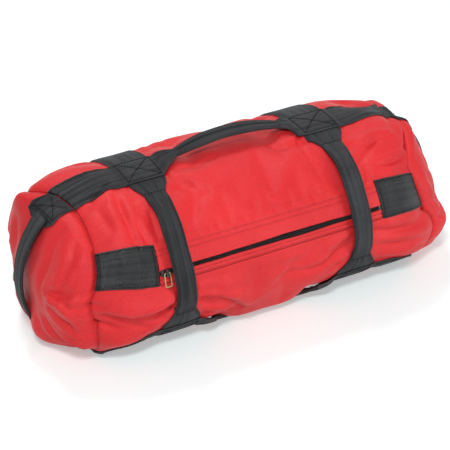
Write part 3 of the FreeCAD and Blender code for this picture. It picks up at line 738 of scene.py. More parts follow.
END_FOLDS = {side: tuple(Crease(*row) for row in rows) for side, rows in ((Side.LEFT, (
    (((-52, 109), (-80, 116), (-114, 122)), 10.5, 5.0, 0.35, 0.6),
    (((-62, 116), (-86, 110), (-102, 94), (-110, 72)), 9.0, 4.5, 0.4, 0.4),
    (((-56, 174), (-72, 156), (-78, 132), (-76, 96)), 6.0, 5.0, 0.4),
    (((-34, 170), (-42, 142), (-40, 112), (-48, 80)), 5.0, 6.0, 0.3),
    (((-84, 152), (-90, 134), (-88, 118)), 4.5, 4.5, 0.3), (((-54, 94), (-84, 74), (-98, 50)), 6.5, 5.0, 0.4),
    (((-36, 68), (-60, 46), (-88, 34)), 6.5, 5.5, 0.3), (((-76, 62), (-92, 44), (-96, 26)), 4.0, 4.0, 0.3),
    (((-16, 62), (-34, 36), (-52, 20)), 4.0, 7.0, 0.3), (((46, 160), (44, 124), (52, 92)), 4.5, 7.0, 0.3),
    (((70, 150), (66, 112), (76, 84)), 4.5, 7.0, 0.3), (((40, 60), (60, 46), (88, 40)), 6.0, 6.0, 0.3),
    (((110, 118), (88, 110), (66, 114)), 6.5, 5.5, 0.3),
)), (Side.RIGHT, (
    (((-60, 84), (-80, 78), (-106, 74)), 6.5, 5.5, 0.3), (((-52, 160), (-62, 136), (-58, 104)), 4.5, 6.0, 0.3),
    (((-86, 140), (-80, 112), (-88, 92)), 4.5, 5.5, 0.3), (((-66, 56), (-82, 40), (-92, 26)), 5.5, 5.5, 0.3),
    (((50, 160), (46, 124), (54, 94)), 4.5, 7.0, 0.3), (((104, 104), (82, 98), (60, 102)), 6.5, 6.0, 0.3),
    (((44, 58), (62, 44), (88, 40)), 5.5, 6.0, 0.3),
)))}


# Meshes


def placed(name: str, data: bpy.types.ID) -> bpy.types.Object:
    """New object of some data, linked to the scene.

    Args:
        name: name of the object.
        data: its mesh, lamp or camera.

    Returns:
        The object.
    """
    made = bpy.data.objects.new(name, data)
    bpy.context.scene.collection.objects.link(made)
    return made


def numbered(rows: int, columns: int, first: int = 0) -> np.ndarray:
    """Vertex numbers of a grid."""
    return first + np.arange(rows * columns).reshape(rows, columns)


def on_cloth(across: np.ndarray, along: np.ndarray) -> np.ndarray:
    """Places on the flat cloth, in metres, from two coordinates in millimetres."""
    return np.stack(np.broadcast_arrays(across, along), -1) * MM


def quarters(ring: np.ndarray) -> tuple:
    """Splits a closed ring into the four sides of a square grid.

    Args:
        ring: points or numbers of the ring, from the foot of its front side upwards.

    Returns:
        The front, top, back and bottom, each with both of its corners.
    """
    n = len(ring) // 4
    bottom = np.concatenate((ring[3 * n:], ring[:1]))[::-1]
    return ring[: n + 1], ring[n: 2 * n + 1], ring[2 * n: 3 * n + 1][::-1], bottom


def rimmed(grid: np.ndarray, ring: np.ndarray) -> np.ndarray:
    """A square grid with a closed ring laid round its border."""
    grid[0], grid[:, -1], grid[-1], grid[:, 0] = quarters(ring)
    return grid


def quads(ids: np.ndarray, wrap: bool) -> np.ndarray:
    """Four-sided faces of a grid of vertex numbers.

    Args:
        ids: vertex numbers, rows by columns.
        wrap: whether the last column joins the first.

    Returns:
        Array of faces that wind so that rows cross columns outwards.
    """
    if wrap:
        ids = np.concatenate((ids, ids[:, :1]), axis=1)
    return np.stack((ids[:-1, :-1], ids[1:, :-1], ids[1:, 1:], ids[:-1, 1:]), -1).reshape(-1, 4)


def spanned(ring: np.ndarray, bend: float = 0.0) -> np.ndarray:
    """Grid of points over a closed ring, spanned between its four quarters.

    Args:
        ring: points of the ring, from the foot of its front side upwards.
        bend: how much the grid's rows crowd towards the ring, 0 to 1.

    Returns:
        Square grid, rows from front to back and columns from the underside up.
    """
    front, top, back, bottom = quarters(ring)
    steps = np.linspace(0, 1, len(front))
    steps = blend(steps, 0.5 - 0.5 * np.cos(np.pi * steps), bend)
    a, b = steps[:, None, None], steps[None, :, None]
    return ((1 - a) * front[None] + a * back[None] + (1 - b) * bottom[:, None] + b * top[:, None]
            - (1 - a) * (1 - b) * front[0] - a * (1 - b) * back[0] - (1 - a) * b * front[-1] - a * b * back[-1])


def capped(body: np.ndarray, caps: Sequence) -> tuple:
    """Closes a tube of points with a grid over each end.

    Args:
        body: points along and round the tube.
        caps: the grid over its first ring and the one over its last.

    Returns:
        Vertices, faces, and the vertex numbers of each cap as a grid.
    """
    rows, columns = body.shape[:2]
    n, start = columns // 4, rows * columns
    vertices = [body.reshape(-1, 3)]
    faces = [quads(numbered(rows, columns), wrap=True)]
    found = []
    for row, cap in zip((0, rows - 1), caps):
        ids = rimmed(np.zeros((n + 1, n + 1), int), row * columns + np.arange(columns))
        ids[1:n, 1:n] = numbered(n - 1, n - 1, start)
        vertices.append(cap[1:n, 1:n].reshape(-1, 3))
        part = quads(ids, wrap=False)
        faces.append(part if row else part[:, ::-1])
        start += (n - 1) ** 2
        found.append(ids)
    return np.concatenate(vertices), np.concatenate(faces), found


def mesh_object(name: str, points: np.ndarray, faces: np.ndarray, uv: np.ndarray | None = None,
                smooth: bool = True) -> bpy.types.Object:
    """New object from points in millimetres.

    Args:
        name: name of the object.
        points: vertices.
        faces: vertex numbers of each face.
        uv: place of each vertex on the flat cloth, in metres.
        smooth: whether its faces are shaded smooth.

    Returns:
        The object, linked to the scene.
    """
    mesh = bpy.data.meshes.new(name)
    mesh.from_pydata((np.asarray(points) * MM).tolist(), [], [list(map(int, face)) for face in faces])
    if uv is not None:
        layer = mesh.uv_layers.new(name=UV_NAME)
        corners = np.zeros(len(mesh.loops), int)
        mesh.loops.foreach_get("vertex_index", corners)
        layer.data.foreach_set("uv", np.asarray(uv, float)[corners].ravel().astype(np.float32))
    mesh.polygons.foreach_set("use_smooth", [smooth] * len(mesh.polygons))
    mesh.update()
    return placed(name, mesh)


def finished_mesh(owner: bpy.types.Object) -> None:
    """Turns an object's live modifiers into its plain mesh.

    Args:
        owner: the object.
    """
    bpy.context.view_layer.update()
    graph = bpy.context.evaluated_depsgraph_get()
    mesh = bpy.data.meshes.new_from_object(owner.evaluated_get(graph), preserve_all_data_layers=True, depsgraph=graph)
    owner.modifiers.clear()
    old = owner.data
    owner.data = mesh
    mesh.name = owner.name
    bpy.data.meshes.remove(old)


def worked_over(piece: bpy.types.Object, work: Callable) -> None:
    """Changes a mesh by bmesh.

    Args:
        piece: the object.
        work: what is done to its bmesh.
    """
    editing = bmesh.new()
    editing.from_mesh(piece.data)
    editing.verts.ensure_lookup_table()
    work(editing)
    editing.to_mesh(piece.data)
    editing.free()


def drop_loose(piece: bpy.types.Object) -> None:
    """Removes vertices that no face uses.

    Args:
        piece: the object.
    """
    corners = np.zeros(len(piece.data.loops), int)
    piece.data.loops.foreach_get("vertex_index", corners)
    loose = np.setdiff1d(np.arange(len(piece.data.vertices)), corners)
    worked_over(piece, lambda mesh: bmesh.ops.delete(
        mesh, geom=[mesh.verts[int(number)] for number in loose], context="VERTS"))


def fix_outward(piece: bpy.types.Object) -> None:
    """Turns the faces of a closed piece outwards."""
    worked_over(piece, lambda mesh: bmesh.ops.recalc_face_normals(mesh, faces=mesh.faces))


CLOTH = {
    "quality": 5, "mass": 0.25, "tension_stiffness": 20, "compression_stiffness": 20, "shear_stiffness": 8,
    "bending_stiffness": 3.0, "vertex_group_mass": "held", "pin_stiffness": 1.0, "vertex_group_shrink": "tight",
    "shrink_min": -0.012, "shrink_max": 0.008, "use_pressure": True, "uniform_pressure_force": 4,
}
SETTLING_FRAMES = 20


def run_cloth(shell: bpy.types.Object, held: np.ndarray, tight: np.ndarray) -> np.ndarray:
    """Lets a shell settle as cloth under pressure from inside.

    Args:
        shell: the closed shell.
        held: how firmly each point is held, 0 to 1.
        tight: where the cloth is drawn together by a seam, 0 to 1.

    Returns:
        Its settled points in millimetres.
    """
    for name, weights in (("held", held), ("tight", tight)):
        group = shell.vertex_groups.new(name=name)
        for number, weight in enumerate(weights):
            if weight > 0.001:
                group.add([number], float(weight), "REPLACE")
    cloth = shell.modifiers.new("settle", "CLOTH")
    for name, value in CLOTH.items():
        setattr(cloth.settings, name, value)
    cloth.settings.effector_weights.gravity = 0
    cloth.point_cache.frame_start, cloth.point_cache.frame_end = 1, SETTLING_FRAMES
    scene = bpy.context.scene
    for number in range(1, SETTLING_FRAMES + 1):
        scene.frame_set(number)
    finished_mesh(shell)
    scene.frame_set(1)
    moved = np.zeros(len(shell.data.vertices) * 3)
    shell.data.vertices.foreach_get("co", moved)
    bpy.data.objects.remove(shell)
    return moved.reshape(-1, 3) / MM


def closed_layer(name: str, top: np.ndarray, under: np.ndarray, uv: np.ndarray, wrap: bool) -> bpy.types.Object:
    """A thin piece between two grids of points, closed round its border.

    Args:
        name: name of the object.
        top: outer points, rows by columns.
        under: inner points, as many.
        uv: place of each point on the flat cloth, in metres.
        wrap: whether the last column joins the first.

    Returns:
        The object.
    """
    rows, columns = top.shape[:2]
    upper, lower = numbered(rows, columns), numbered(rows, columns, rows * columns)
    faces = [quads(upper, wrap), quads(lower, wrap)[:, ::-1]]
    sides = [(upper[0], lower[0]), (lower[-1], upper[-1])]
    if wrap:
        sides = [(np.append(a, a[0]), np.append(b, b[0])) for a, b in sides]
    else:
        sides += [(lower[:, 0], upper[:, 0]), (upper[:, -1], lower[:, -1])]
    faces += [np.stack((a[:-1], a[1:], b[1:], b[:-1]), -1) for a, b in sides]
    points = np.concatenate((top.reshape(-1, 3), under.reshape(-1, 3)))
    return mesh_object(name, points, np.concatenate(faces), np.concatenate((uv.reshape(-1, 2),) * 2))


def edged(count: int) -> np.ndarray:
    """Shares from -1 to 1 with close steps at both edges."""
    inside = np.linspace(-0.93, 0.93, count)
    return np.concatenate(((-1.0, -0.975), inside, (0.975, 1.0)))


def edge_height(shares: np.ndarray) -> tuple:
    """How high the upper and lower faces of webbing lie across its width, as shares of its thickness."""
    near = np.clip((1 - np.abs(shares)) / 0.05, 0, 1)
    return 0.62 + 0.38 * near ** 0.6, 0.30 * (1 - near) ** 1.5


def stitched_in(spots: np.ndarray, lines: Sequence, depth: float = 1.05, width: float = 1.5) -> np.ndarray:
    """How deep rows of stitches pull a layer down.

    Args:
        spots: flat places of the layer's points.
        lines: pairs of flat places, each the two ends of a row.
        depth: how deep a row lies.
        width: how wide its furrow is.

    Returns:
        Depth at each spot.
    """
    nearest = np.full(spots.shape[:-1], 1e9)
    for start, stop in lines:
        step = np.array(stop, float) - np.array(start, float)
        along = np.clip(((spots - start) @ step) / (step @ step), 0.0, 1.0)
        nearest = np.minimum(nearest, np.linalg.norm(spots - start - along[..., None] * step, axis=-1))
    return depth * np.exp(-(nearest / width) ** 2)


def box_and_cross(low: tuple, high: tuple) -> list:
    """Rows of stitches round a rectangle and along both its diagonals.

    Args:
        low: its corner with the smaller numbers.
        high: its corner with the larger ones.

    Returns:
        Pairs of points, the two ends of each row.
    """
    corners = [low, (high[0], low[1]), high, (low[0], high[1])]
    return list(zip(corners, corners[1:] + corners[:1])) + [(corners[0], corners[2]), (corners[1], corners[3])]


def bowed(knots: Sequence[np.ndarray], shares: np.ndarray, axis: int, level: float) -> tuple:
    """An arc through three points of an upright plane.

    Args:
        knots: its start, a point between and its end, each as two coordinates in the plane.
        shares: how far along the arc each wanted point lies, 0 to 1.
        axis: the axis that crosses the plane, 0 or 1.
        level: where it crosses.

    Returns:
        The points, their outward directions and their sideways directions.
    """
    first, second, third = knots
    rows = np.array((second - first, third - first)) * 2
    hub = np.linalg.solve(rows, np.array((second @ second - first @ first, third @ third - first @ first)))
    turns = np.unwrap([math.atan2(*(point - hub)[::-1]) for point in knots])
    angles = blend(turns[0], turns[2], shares)
    spokes = np.stack((np.cos(angles), np.sin(angles)), -1)
    line = np.insert(hub + float(np.linalg.norm(first - hub)) * spokes, axis, level, axis=1)
    return line, np.insert(spokes, axis, 0.0, axis=1), np.tile(np.eye(3)[axis], (len(shares), 1))


def twin_rows(line: np.ndarray, out: np.ndarray, across: np.ndarray, high: np.ndarray, wide: np.ndarray,
              skipped: int) -> list:
    """Two rows of stitches along a bar, one each side of its middle line.

    Args:
        line: points of the bar.
        out: outward direction at each.
        across: sideways direction at each.
        high: height of the bar's face over its line, at each.
        wide: distance of the rows from the middle, at each.
        skipped: how many points at each end have no stitches.

    Returns:
        The points of both rows.
    """
    own = slice(skipped, -skipped)
    return [line[own] + out[own] * (high[own] + 0.05)[:, None] + across[own] * (way * wide[own])[:, None]
            for way in (-1, 1)]


def folded_bar(name: str, line: np.ndarray, across: np.ndarray, out: np.ndarray, half: np.ndarray, thick: np.ndarray,
               slit: int = 1, groove: float = 0.0) -> bpy.types.Object:
    """A bar of folded webbing along a line, closed at both ends.

    Args:
        name: name of the object.
        line: centres of its sections.
        across: direction of its width at each section.
        out: direction of its thickness at each section.
        half: half of its width at each section.
        thick: its thickness at each section.
        slit: which edge shows the two layers, 1 or -1, or 0 for neither.
        groove: depth of a dip along the middle of its outer face.

    Returns:
        The object.
    """
    spots = np.array(((0.90, 0.46), (0.7, 0.5), (0.35, 0.5), (0.08, 0.5), (0.0, 0.5), (-0.08, 0.5), (-0.35, 0.5),
                      (-0.7, 0.5), (-0.90, 0.46), (-0.985, 0.26), (-0.94, 0.02), (-0.94, -0.02), (-0.985, -0.26),
                      (-0.90, -0.46), (-0.5, -0.5), (0.0, -0.5), (0.5, -0.5), (0.90, -0.46), (0.98, -0.24),
                      (1.0, 0.0), (0.98, 0.24)))
    if slit > 0:
        spots = (spots * np.array((-1, 1)))[::-1]
    elif slit == 0:
        spots[10:12, 0] = -1.0
    inner = np.abs(spots[:, 0]) < 0.02
    high = np.outer(thick, spots[:, 1])
    high[:, inner] -= groove * (spots[inner, 1] > 0)
    wide = np.outer(half, spots[:, 0])
    points = line[:, None] + across[:, None] * wide[..., None] + out[:, None] * high[..., None]
    ids = numbered(*wide.shape)
    faces, caps = quads(ids, True), [ids[0][::-1], ids[-1]]
    turn = np.cross(across[0], out[0]) @ (line[1] - line[0])
    signed = np.sum(spots[:, 0] * np.roll(spots[:, 1], -1) - np.roll(spots[:, 0], -1) * spots[:, 1])
    if turn * signed < 0:
        faces, caps = faces[:, ::-1], [cap[::-1] for cap in caps]
    along, lap = (np.append(0, np.cumsum(np.linalg.norm(np.diff(path, axis=0), axis=1)))
                  for path in (line, points[len(line) // 2]))
    uv = on_cloth((lap - lap[4])[None, :], along[:, None]).reshape(-1, 2)
    return mesh_object(name, points.reshape(-1, 3), [list(face) for face in faces] + [list(cap) for cap in caps], uv)


# Finishes


class Graph:
    """Nodes of one material, group or modifier, added and joined in one step."""

    def __init__(self, tree: bpy.types.NodeTree) -> None:
        """Wraps a node tree."""
        self.tree = tree

    @classmethod
    def emptied(cls, owner: bpy.types.ID) -> "Graph":
        """Graph of a material or world whose own nodes are cleared away.

        Args:
            owner: the material or world.

        Returns:
            Its graph.
        """
        owner.use_nodes = True
        owner.node_tree.nodes.clear()
        return cls(owner.node_tree)

    def add(self, kind: str, settings: dict | None = None, inputs: dict | None = None) -> bpy.types.Node:
        """Adds one node.

        Args:
            kind: type of the node.
            settings: its properties.
            inputs: its sockets by name or number, each a plain value or a socket to join.

        Returns:
            The node.
        """
        node = self.tree.nodes.new(kind)
        for name, value in (settings or {}).items():
            setattr(node, name, value)
        for key, value in (inputs or {}).items():
            self.join(value, node.inputs[key])
        return node

    def join(self, value: Given, socket: bpy.types.NodeSocket) -> None:
        """Joins a socket, or sets a plain value.

        Args:
            value: the plain value, or the output to join.
            socket: the input that takes it.
        """
        if isinstance(value, bpy.types.NodeSocket):
            self.tree.links.new(value, socket)
        else:
            socket.default_value = value

    def sum(self, operation: str, a: Given, b: Given = 0.0) -> bpy.types.NodeSocket:
        """Result of one sum of two numbers."""
        return self.add("ShaderNodeMath", {"operation": operation}, {0: a, 1: b}).outputs[0]

    def weighed(self, a: Given, a_share: float, b: Given, b_share: float) -> bpy.types.NodeSocket:
        """Two numbers added, each times its share."""
        return self.sum("ADD", self.sum("MULTIPLY", a, a_share), self.sum("MULTIPLY", b, b_share))

    def vector(self, operation: str, a: Given, inputs: dict | None = None) -> bpy.types.Node:
        """One step of vector maths."""
        return self.add("ShaderNodeVectorMath", {"operation": operation}, {0: a} | (inputs or {}))

    def parts(self, place: Given) -> bpy.types.NodeOutputs:
        """The three numbers of a place."""
        return self.add("ShaderNodeSeparateXYZ", None, {0: place}).outputs

    def mix(self, share: Given, a: Given, b: Given) -> bpy.types.NodeSocket:
        """Colour between a and b."""
        return self.add("ShaderNodeMix", {"data_type": "RGBA"}, {0: share, 6: a, 7: b}).outputs[2]

    def ramp(self, value: Given, low: float, high: float, start: float = 0.0,
             stop: float = 1.0) -> bpy.types.NodeSocket:
        """Number spread from one range on to another."""
        return self.add("ShaderNodeMapRange", None, {0: value, 1: low, 2: high, 3: start, 4: stop}).outputs[0]

    def noise(self, place: Given, scale: Given, detail: float = 3.0, rough: float = 0.55) -> bpy.types.NodeSocket:
        """Soft random value over a surface."""
        return self.add("ShaderNodeTexNoise", None,
                        {"Vector": place, "Scale": scale, "Detail": detail, "Roughness": rough}).outputs[0]


def shader_group(name: str, inputs: dict, outputs: Sequence[str]) -> tuple:
    """Empty shader group with named sockets.

    Args:
        name: its name.
        inputs: name of each input, with its default, None for a vector.
        outputs: names of its outputs.

    Returns:
        The group, its graph, its input node and its output node.
    """
    group = bpy.data.node_groups.new(name, "ShaderNodeTree")
    for label, value in inputs.items():
        kind = "NodeSocketVector" if value is None else "NodeSocketFloat"
        socket = group.interface.new_socket(label, in_out="INPUT", socket_type=kind)
        if value is not None:
            socket.default_value = value
    for label in outputs:
        group.interface.new_socket(label, in_out="OUTPUT", socket_type="NodeSocketFloat")
    graph = Graph(group)
    return group, graph, graph.add("NodeGroupInput"), graph.add("NodeGroupOutput")


class Effects:
    """Shader groups that several finishes share."""

    def __init__(self) -> None:
        """Builds each group once."""
        self.weave = self._weave()
        self.ribs = self._ribs()
        self.mottle = self._mottle()

    @staticmethod
    def _weave() -> bpy.types.NodeTree:
        """Plain weave of crossing threads.

        Returns:
            The group, with its height and the gaps between its threads.
        """
        group, graph, given, out = shader_group("plain_weave", {"Place": None, "Pitch": 0.001}, ("Height", "Gap"))
        spot = graph.parts(given.outputs["Place"])
        turns = graph.sum("DIVIDE", math.pi, given.outputs["Pitch"])
        waves = [graph.sum("SINE", graph.sum("MULTIPLY", spot[axis], turns)) for axis in (0, 1)]
        crossing = graph.sum("MULTIPLY", *waves)
        graph.join(graph.ramp(crossing, -1.0, 1.0), out.inputs["Height"])
        ridges = graph.sum("MULTIPLY", graph.sum("ABSOLUTE", waves[0]), graph.sum("ABSOLUTE", waves[1]))
        graph.join(graph.ramp(ridges, 0.0, 0.35, 1.0, 0.0), out.inputs["Gap"])
        return group

    @staticmethod
    def _ribs() -> bpy.types.NodeTree:
        """Lengthwise ribs of webbing, crossed by its picks in a herringbone.

        Returns:
            The group, with its height and a tone painted from it: shade in the grooves, highlight on the raised picks.
        """
        group, graph, given, out = shader_group(
            "webbing_ribs", {"Place": None, "Rib": 0.0021, "Pick": 0.0013}, ("Height", "Tone"))
        spot = graph.parts(given.outputs["Place"])
        across = graph.sum("DIVIDE", spot[0], given.outputs["Rib"])
        tent = graph.sum("ABSOLUTE", graph.sum("SUBTRACT", graph.sum("FRACT", across), 0.5))
        along = graph.sum("DIVIDE", spot[1], given.outputs["Pick"])
        slant = graph.sum("ADD", along, graph.sum("MULTIPLY", tent, 2.0))
        picks = graph.ramp(graph.sum("SINE", graph.sum("MULTIPLY", slant, math.tau)), -1.0, 1.0)
        groove = graph.ramp(tent, 0.0, 0.12)
        height = graph.sum("MULTIPLY", graph.sum("ADD", graph.sum("MULTIPLY", picks, 0.5), 0.5), groove)
        graph.join(height, out.inputs["Height"])
        # Tone follows the height: painted shade in the grooves, painted highlight on the raised picks.
        graph.join(graph.ramp(height, 0.0, 1.0, 0.72, 1.12), out.inputs["Tone"])
        return group

    @staticmethod
    def _mottle() -> bpy.types.NodeTree:
        """Cloudy change of tone, broad and fine together.

        Returns:
            The group, with its tone.
        """
        group, graph, given, out = shader_group("mottle", {"Place": None, "Broad": 14.0, "Fine": 220.0}, ("Tone",))
        broad, fine = (graph.noise(given.outputs["Place"], given.outputs[size], detail, 0.5)
                       for size, detail in (("Broad", 3.0), ("Fine", 2.0)))
        graph.join(graph.ramp(graph.weighed(broad, 0.6, fine, 0.4), 0.3, 0.7), out.inputs["Tone"])
        return group


class Material:
    """One procedural material under construction."""

    def __init__(self, name: str, effects: Effects) -> None:
        """Starts a material with an empty Principled shader.

        Args:
            name: its name.
            effects: the shared groups.
        """
        self.made = bpy.data.materials.new(name)
        self.graph = Graph.emptied(self.made)
        self.effects = effects
        self.shader = self.graph.add("ShaderNodeBsdfPrincipled")
        output = self.graph.add("ShaderNodeOutputMaterial")
        self.graph.join(self.shader.outputs[0], output.inputs[0])
        self.flat = self.graph.add("ShaderNodeUVMap", {"uv_map": UV_NAME}).outputs[0]
        self.object = self.graph.add("ShaderNodeTexCoord").outputs["Object"]

    def group(self, tree: bpy.types.NodeTree, **inputs) -> bpy.types.Node:
        """Places a shared group with this material's own values."""
        return self.graph.add("ShaderNodeGroup", {"node_tree": tree}, inputs)

    def bump(self, height: Given, distance: float, strength: float, under: Given | None = None) -> bpy.types.NodeSocket:
        """Normal roughened by a height in metres, over another normal where one is given."""
        inputs = {"Height": height, "Distance": distance, "Strength": strength, "Normal": under}
        return self.graph.add("ShaderNodeBump", None, {k: v for k, v in inputs.items() if v is not None}).outputs[0]

    def finish(self, **inputs: Given) -> bpy.types.Material:
        """Sets or joins the shader's own sockets.

        Args:
            inputs: a value for each, spaces in their names written as underscores.

        Returns:
            The material.
        """
        for name, value in inputs.items():
            self.graph.join(value, self.shader.inputs[name.replace("_", " ")])
        return self.made


@dataclass(frozen=True)
class ClothFinish:
    """Coated polyester in a plain weave."""

    name: str
    deep: tuple
    light: tuple
    pitch: float = 0.0015
    roughness: float = 0.55
    sheen: float = 0.06

    def material(self, effects: Effects) -> bpy.types.Material:
        """Makes the cloth's material.

        Args:
            effects: the shared groups.

        Returns:
            The material.
        """
        made = Material(self.name, effects)
        graph = made.graph
        weave = made.group(effects.weave, Place=made.flat, Pitch=self.pitch)
        tone = made.group(effects.mottle, Place=made.object, Broad=11.0, Fine=420.0).outputs["Tone"]
        colour = graph.mix(tone, self.deep + (1,), self.light + (1,))
        # Darker in the gaps between threads: painted shade in the weave's hollows.
        colour = graph.mix(graph.sum("MULTIPLY", weave.outputs["Gap"], 0.30), colour,
                           tuple(0.55 * part for part in self.deep) + (1,))
        crumple = graph.add("ShaderNodeTexNoise", {"noise_type": "RIDGED_MULTIFRACTAL"},
                            {"Vector": made.object, "Scale": 13.0, "Detail": 2.5, "Roughness": 0.4, "Distortion": 0.7})
        normal = made.bump(crumple.outputs[0], 0.004, 0.3)
        normal = made.bump(graph.noise(made.object, 60.0, 4.0), 0.0016, 0.5, normal)
        normal = made.bump(weave.outputs["Height"], 0.00022, 0.6, normal)
        rough = graph.ramp(tone, 0.0, 1.0, self.roughness + 0.07, self.roughness - 0.05)
        return made.finish(Base_Color=colour, Roughness=rough, Normal=normal, Sheen_Weight=self.sheen,
                           Sheen_Roughness=0.4, Specular_IOR_Level=0.34)


@dataclass(frozen=True)
class WebbingFinish:
    """Woven strap webbing, ribbed along its length, with painted sheen streaks and a painted highlight on its edges."""

    name: str
    dark: tuple
    pale: tuple
    roughness: float = 0.62
    rib: float = 0.0021
    half: float = 0.025
    gloss_bands: float = 0.0
    specular: float = 0.4

    def material(self, effects: Effects) -> bpy.types.Material:
        """Makes the webbing's material.

        Args:
            effects: the shared groups.

        Returns:
            The material.
        """
        made = Material(self.name, effects)
        graph = made.graph
        ribs = made.group(effects.ribs, Place=made.flat, Rib=self.rib, Pick=0.0015)
        tone = made.group(effects.mottle, Place=made.object, Broad=26.0, Fine=500.0).outputs["Tone"]
        # Lengthwise streaks, lighter and darker: painted sheen of the satin webbing, mixed with its random tone.
        long = graph.vector("MULTIPLY", made.flat, {1: (210.0, 7.0, 1.0)})
        sheen_streaks = graph.ramp(graph.noise(long.outputs[0], 1.0, 2.0), 0.32, 0.68)
        colour = graph.mix(graph.weighed(tone, 0.35, sheen_streaks, 0.65), self.dark + (1,), self.pale + (1,))
        # Darker in the rib grooves and lighter on the raised picks: painted shade and highlight from the ribs' height.
        scale = graph.vector("SCALE", colour, {"Scale": ribs.outputs["Tone"]})
        across, length = graph.parts(made.flat)[:2]
        # Lighter along both edges: painted highlight where the rounded edges catch the light.
        edge = graph.ramp(graph.sum("ABSOLUTE", across), self.half - 0.0022, self.half, 0.0, 0.3)
        edge_highlight = graph.sum("MULTIPLY", edge, tone)
        colour = graph.mix(edge_highlight, scale.outputs[0], tuple(2.1 * part for part in self.pale) + (1,))
        normal = made.bump(graph.noise(made.object, 90.0, 3.0), 0.0012, 0.4)
        normal = made.bump(ribs.outputs["Height"], 0.0003, 0.8, normal)
        rough = graph.ramp(tone, 0.0, 1.0, self.roughness + 0.08, self.roughness - 0.06)
        if self.gloss_bands:
            band = graph.ramp(graph.sum("SINE", graph.weighed(length, 260.0, tone, 2.2)), -1.0, 1.0)
            rough = graph.sum("SUBTRACT", rough, graph.sum("MULTIPLY", band, self.gloss_bands))
        return made.finish(Base_Color=colour, Roughness=rough, Normal=normal, Sheen_Weight=0.02,
                           Sheen_Roughness=0.45, Specular_IOR_Level=self.specular)


@dataclass(frozen=True)
class PlainFinish:
    """Thread, nylon, metal or sand: one substance with a fine grain of its own."""

    name: str
    dark: tuple
    pale: tuple
    roughness: float
    metallic: float = 0.0
    grain: float = 900.0
    grain_depth: float = 0.0001
    specular: float = 0.5

    def material(self, effects: Effects) -> bpy.types.Material:
        """Makes the substance's material.

        Args:
            effects: the shared groups.

        Returns:
            The material.
        """
        made = Material(self.name, effects)
        graph = made.graph
        tone = made.group(effects.mottle, Place=made.object, Broad=self.grain / 9, Fine=self.grain).outputs["Tone"]
        colour = graph.mix(tone, self.dark + (1,), self.pale + (1,))
        rough = graph.ramp(tone, 0.0, 1.0, self.roughness - 0.06, self.roughness + 0.08)
        normal = made.bump(tone, self.grain_depth, 0.5)
        return made.finish(Base_Color=colour, Roughness=rough, Metallic=self.metallic, Normal=normal,
                           Specular_IOR_Level=self.specular)


RED = ((0.64, 0.013, 0.018), (0.84, 0.030, 0.036))


class Finish(Enum):
    """Every finish of the bag."""

    SHELL = ClothFinish("red_coated_cloth", *RED)
    FLAP = ClothFinish("red_flap_cloth", *RED)
    WEBBING = WebbingFinish("strap_webbing", (0.005, 0.0051, 0.0058), (0.062, 0.063, 0.068), specular=0.14)
    GRIP = WebbingFinish("grip_webbing", (0.008, 0.0081, 0.0092), (0.050, 0.051, 0.056), half=0.0135, specular=0.14)
    PATCH = WebbingFinish("patch_webbing", (0.002, 0.0021, 0.0024), (0.036, 0.037, 0.039), roughness=0.38,
                          rib=0.0015, gloss_bands=0.16, specular=0.26)
    THREAD = PlainFinish("black_thread", (0.002, 0.002, 0.0025), (0.008, 0.008, 0.009), 0.7, specular=0.15)
    RED_THREAD = PlainFinish("dark_red_thread", (0.10, 0.004, 0.008), (0.20, 0.010, 0.014), 0.6)
    ZIP_TAPE = WebbingFinish("zip_tape", (0.008, 0.008, 0.009), (0.018, 0.018, 0.020), rib=0.0012, half=0.0075)
    COIL = PlainFinish("zip_coil_nylon", (0.010, 0.010, 0.011), (0.024, 0.024, 0.026), 0.32)
    GOLD = PlainFinish("old_gold_metal", (0.34, 0.21, 0.11), (0.50, 0.33, 0.18), 0.30, metallic=1.0, grain=500.0,
                       grain_depth=0.00004)
    DARK_METAL = PlainFinish("dark_metal", (0.020, 0.019, 0.018), (0.045, 0.042, 0.040), 0.34, metallic=0.7,
                             grain=500.0, grain_depth=0.00004)
    BINDING = WebbingFinish("seam_binding", (0.016, 0.016, 0.018), (0.03, 0.03, 0.034), half=0.006)
    SACK = ClothFinish("sack_cloth", (0.05, 0.05, 0.055), (0.09, 0.09, 0.095), pitch=0.0016)
    SAND = PlainFinish("dry_sand", (0.42, 0.33, 0.22), (0.66, 0.55, 0.40), 0.85, grain=700.0, grain_depth=0.0008)
    HOOKS = PlainFinish("hook_and_loop", (0.012, 0.012, 0.013), (0.03, 0.03, 0.032), 0.8, grain=1400.0,
                        grain_depth=0.0006)


class Finishes:
    """Materials of the bag, each made once."""

    def __init__(self) -> None:
        """Makes every finish."""
        effects = Effects()
        self.made = {finish: finish.value.material(effects) for finish in Finish}

    def __getitem__(self, finish: Finish) -> bpy.types.Material:
        """Material of one finish."""
        return self.made[finish]


# Stitches and the zip's coil, repeated along lines by Geometry Nodes


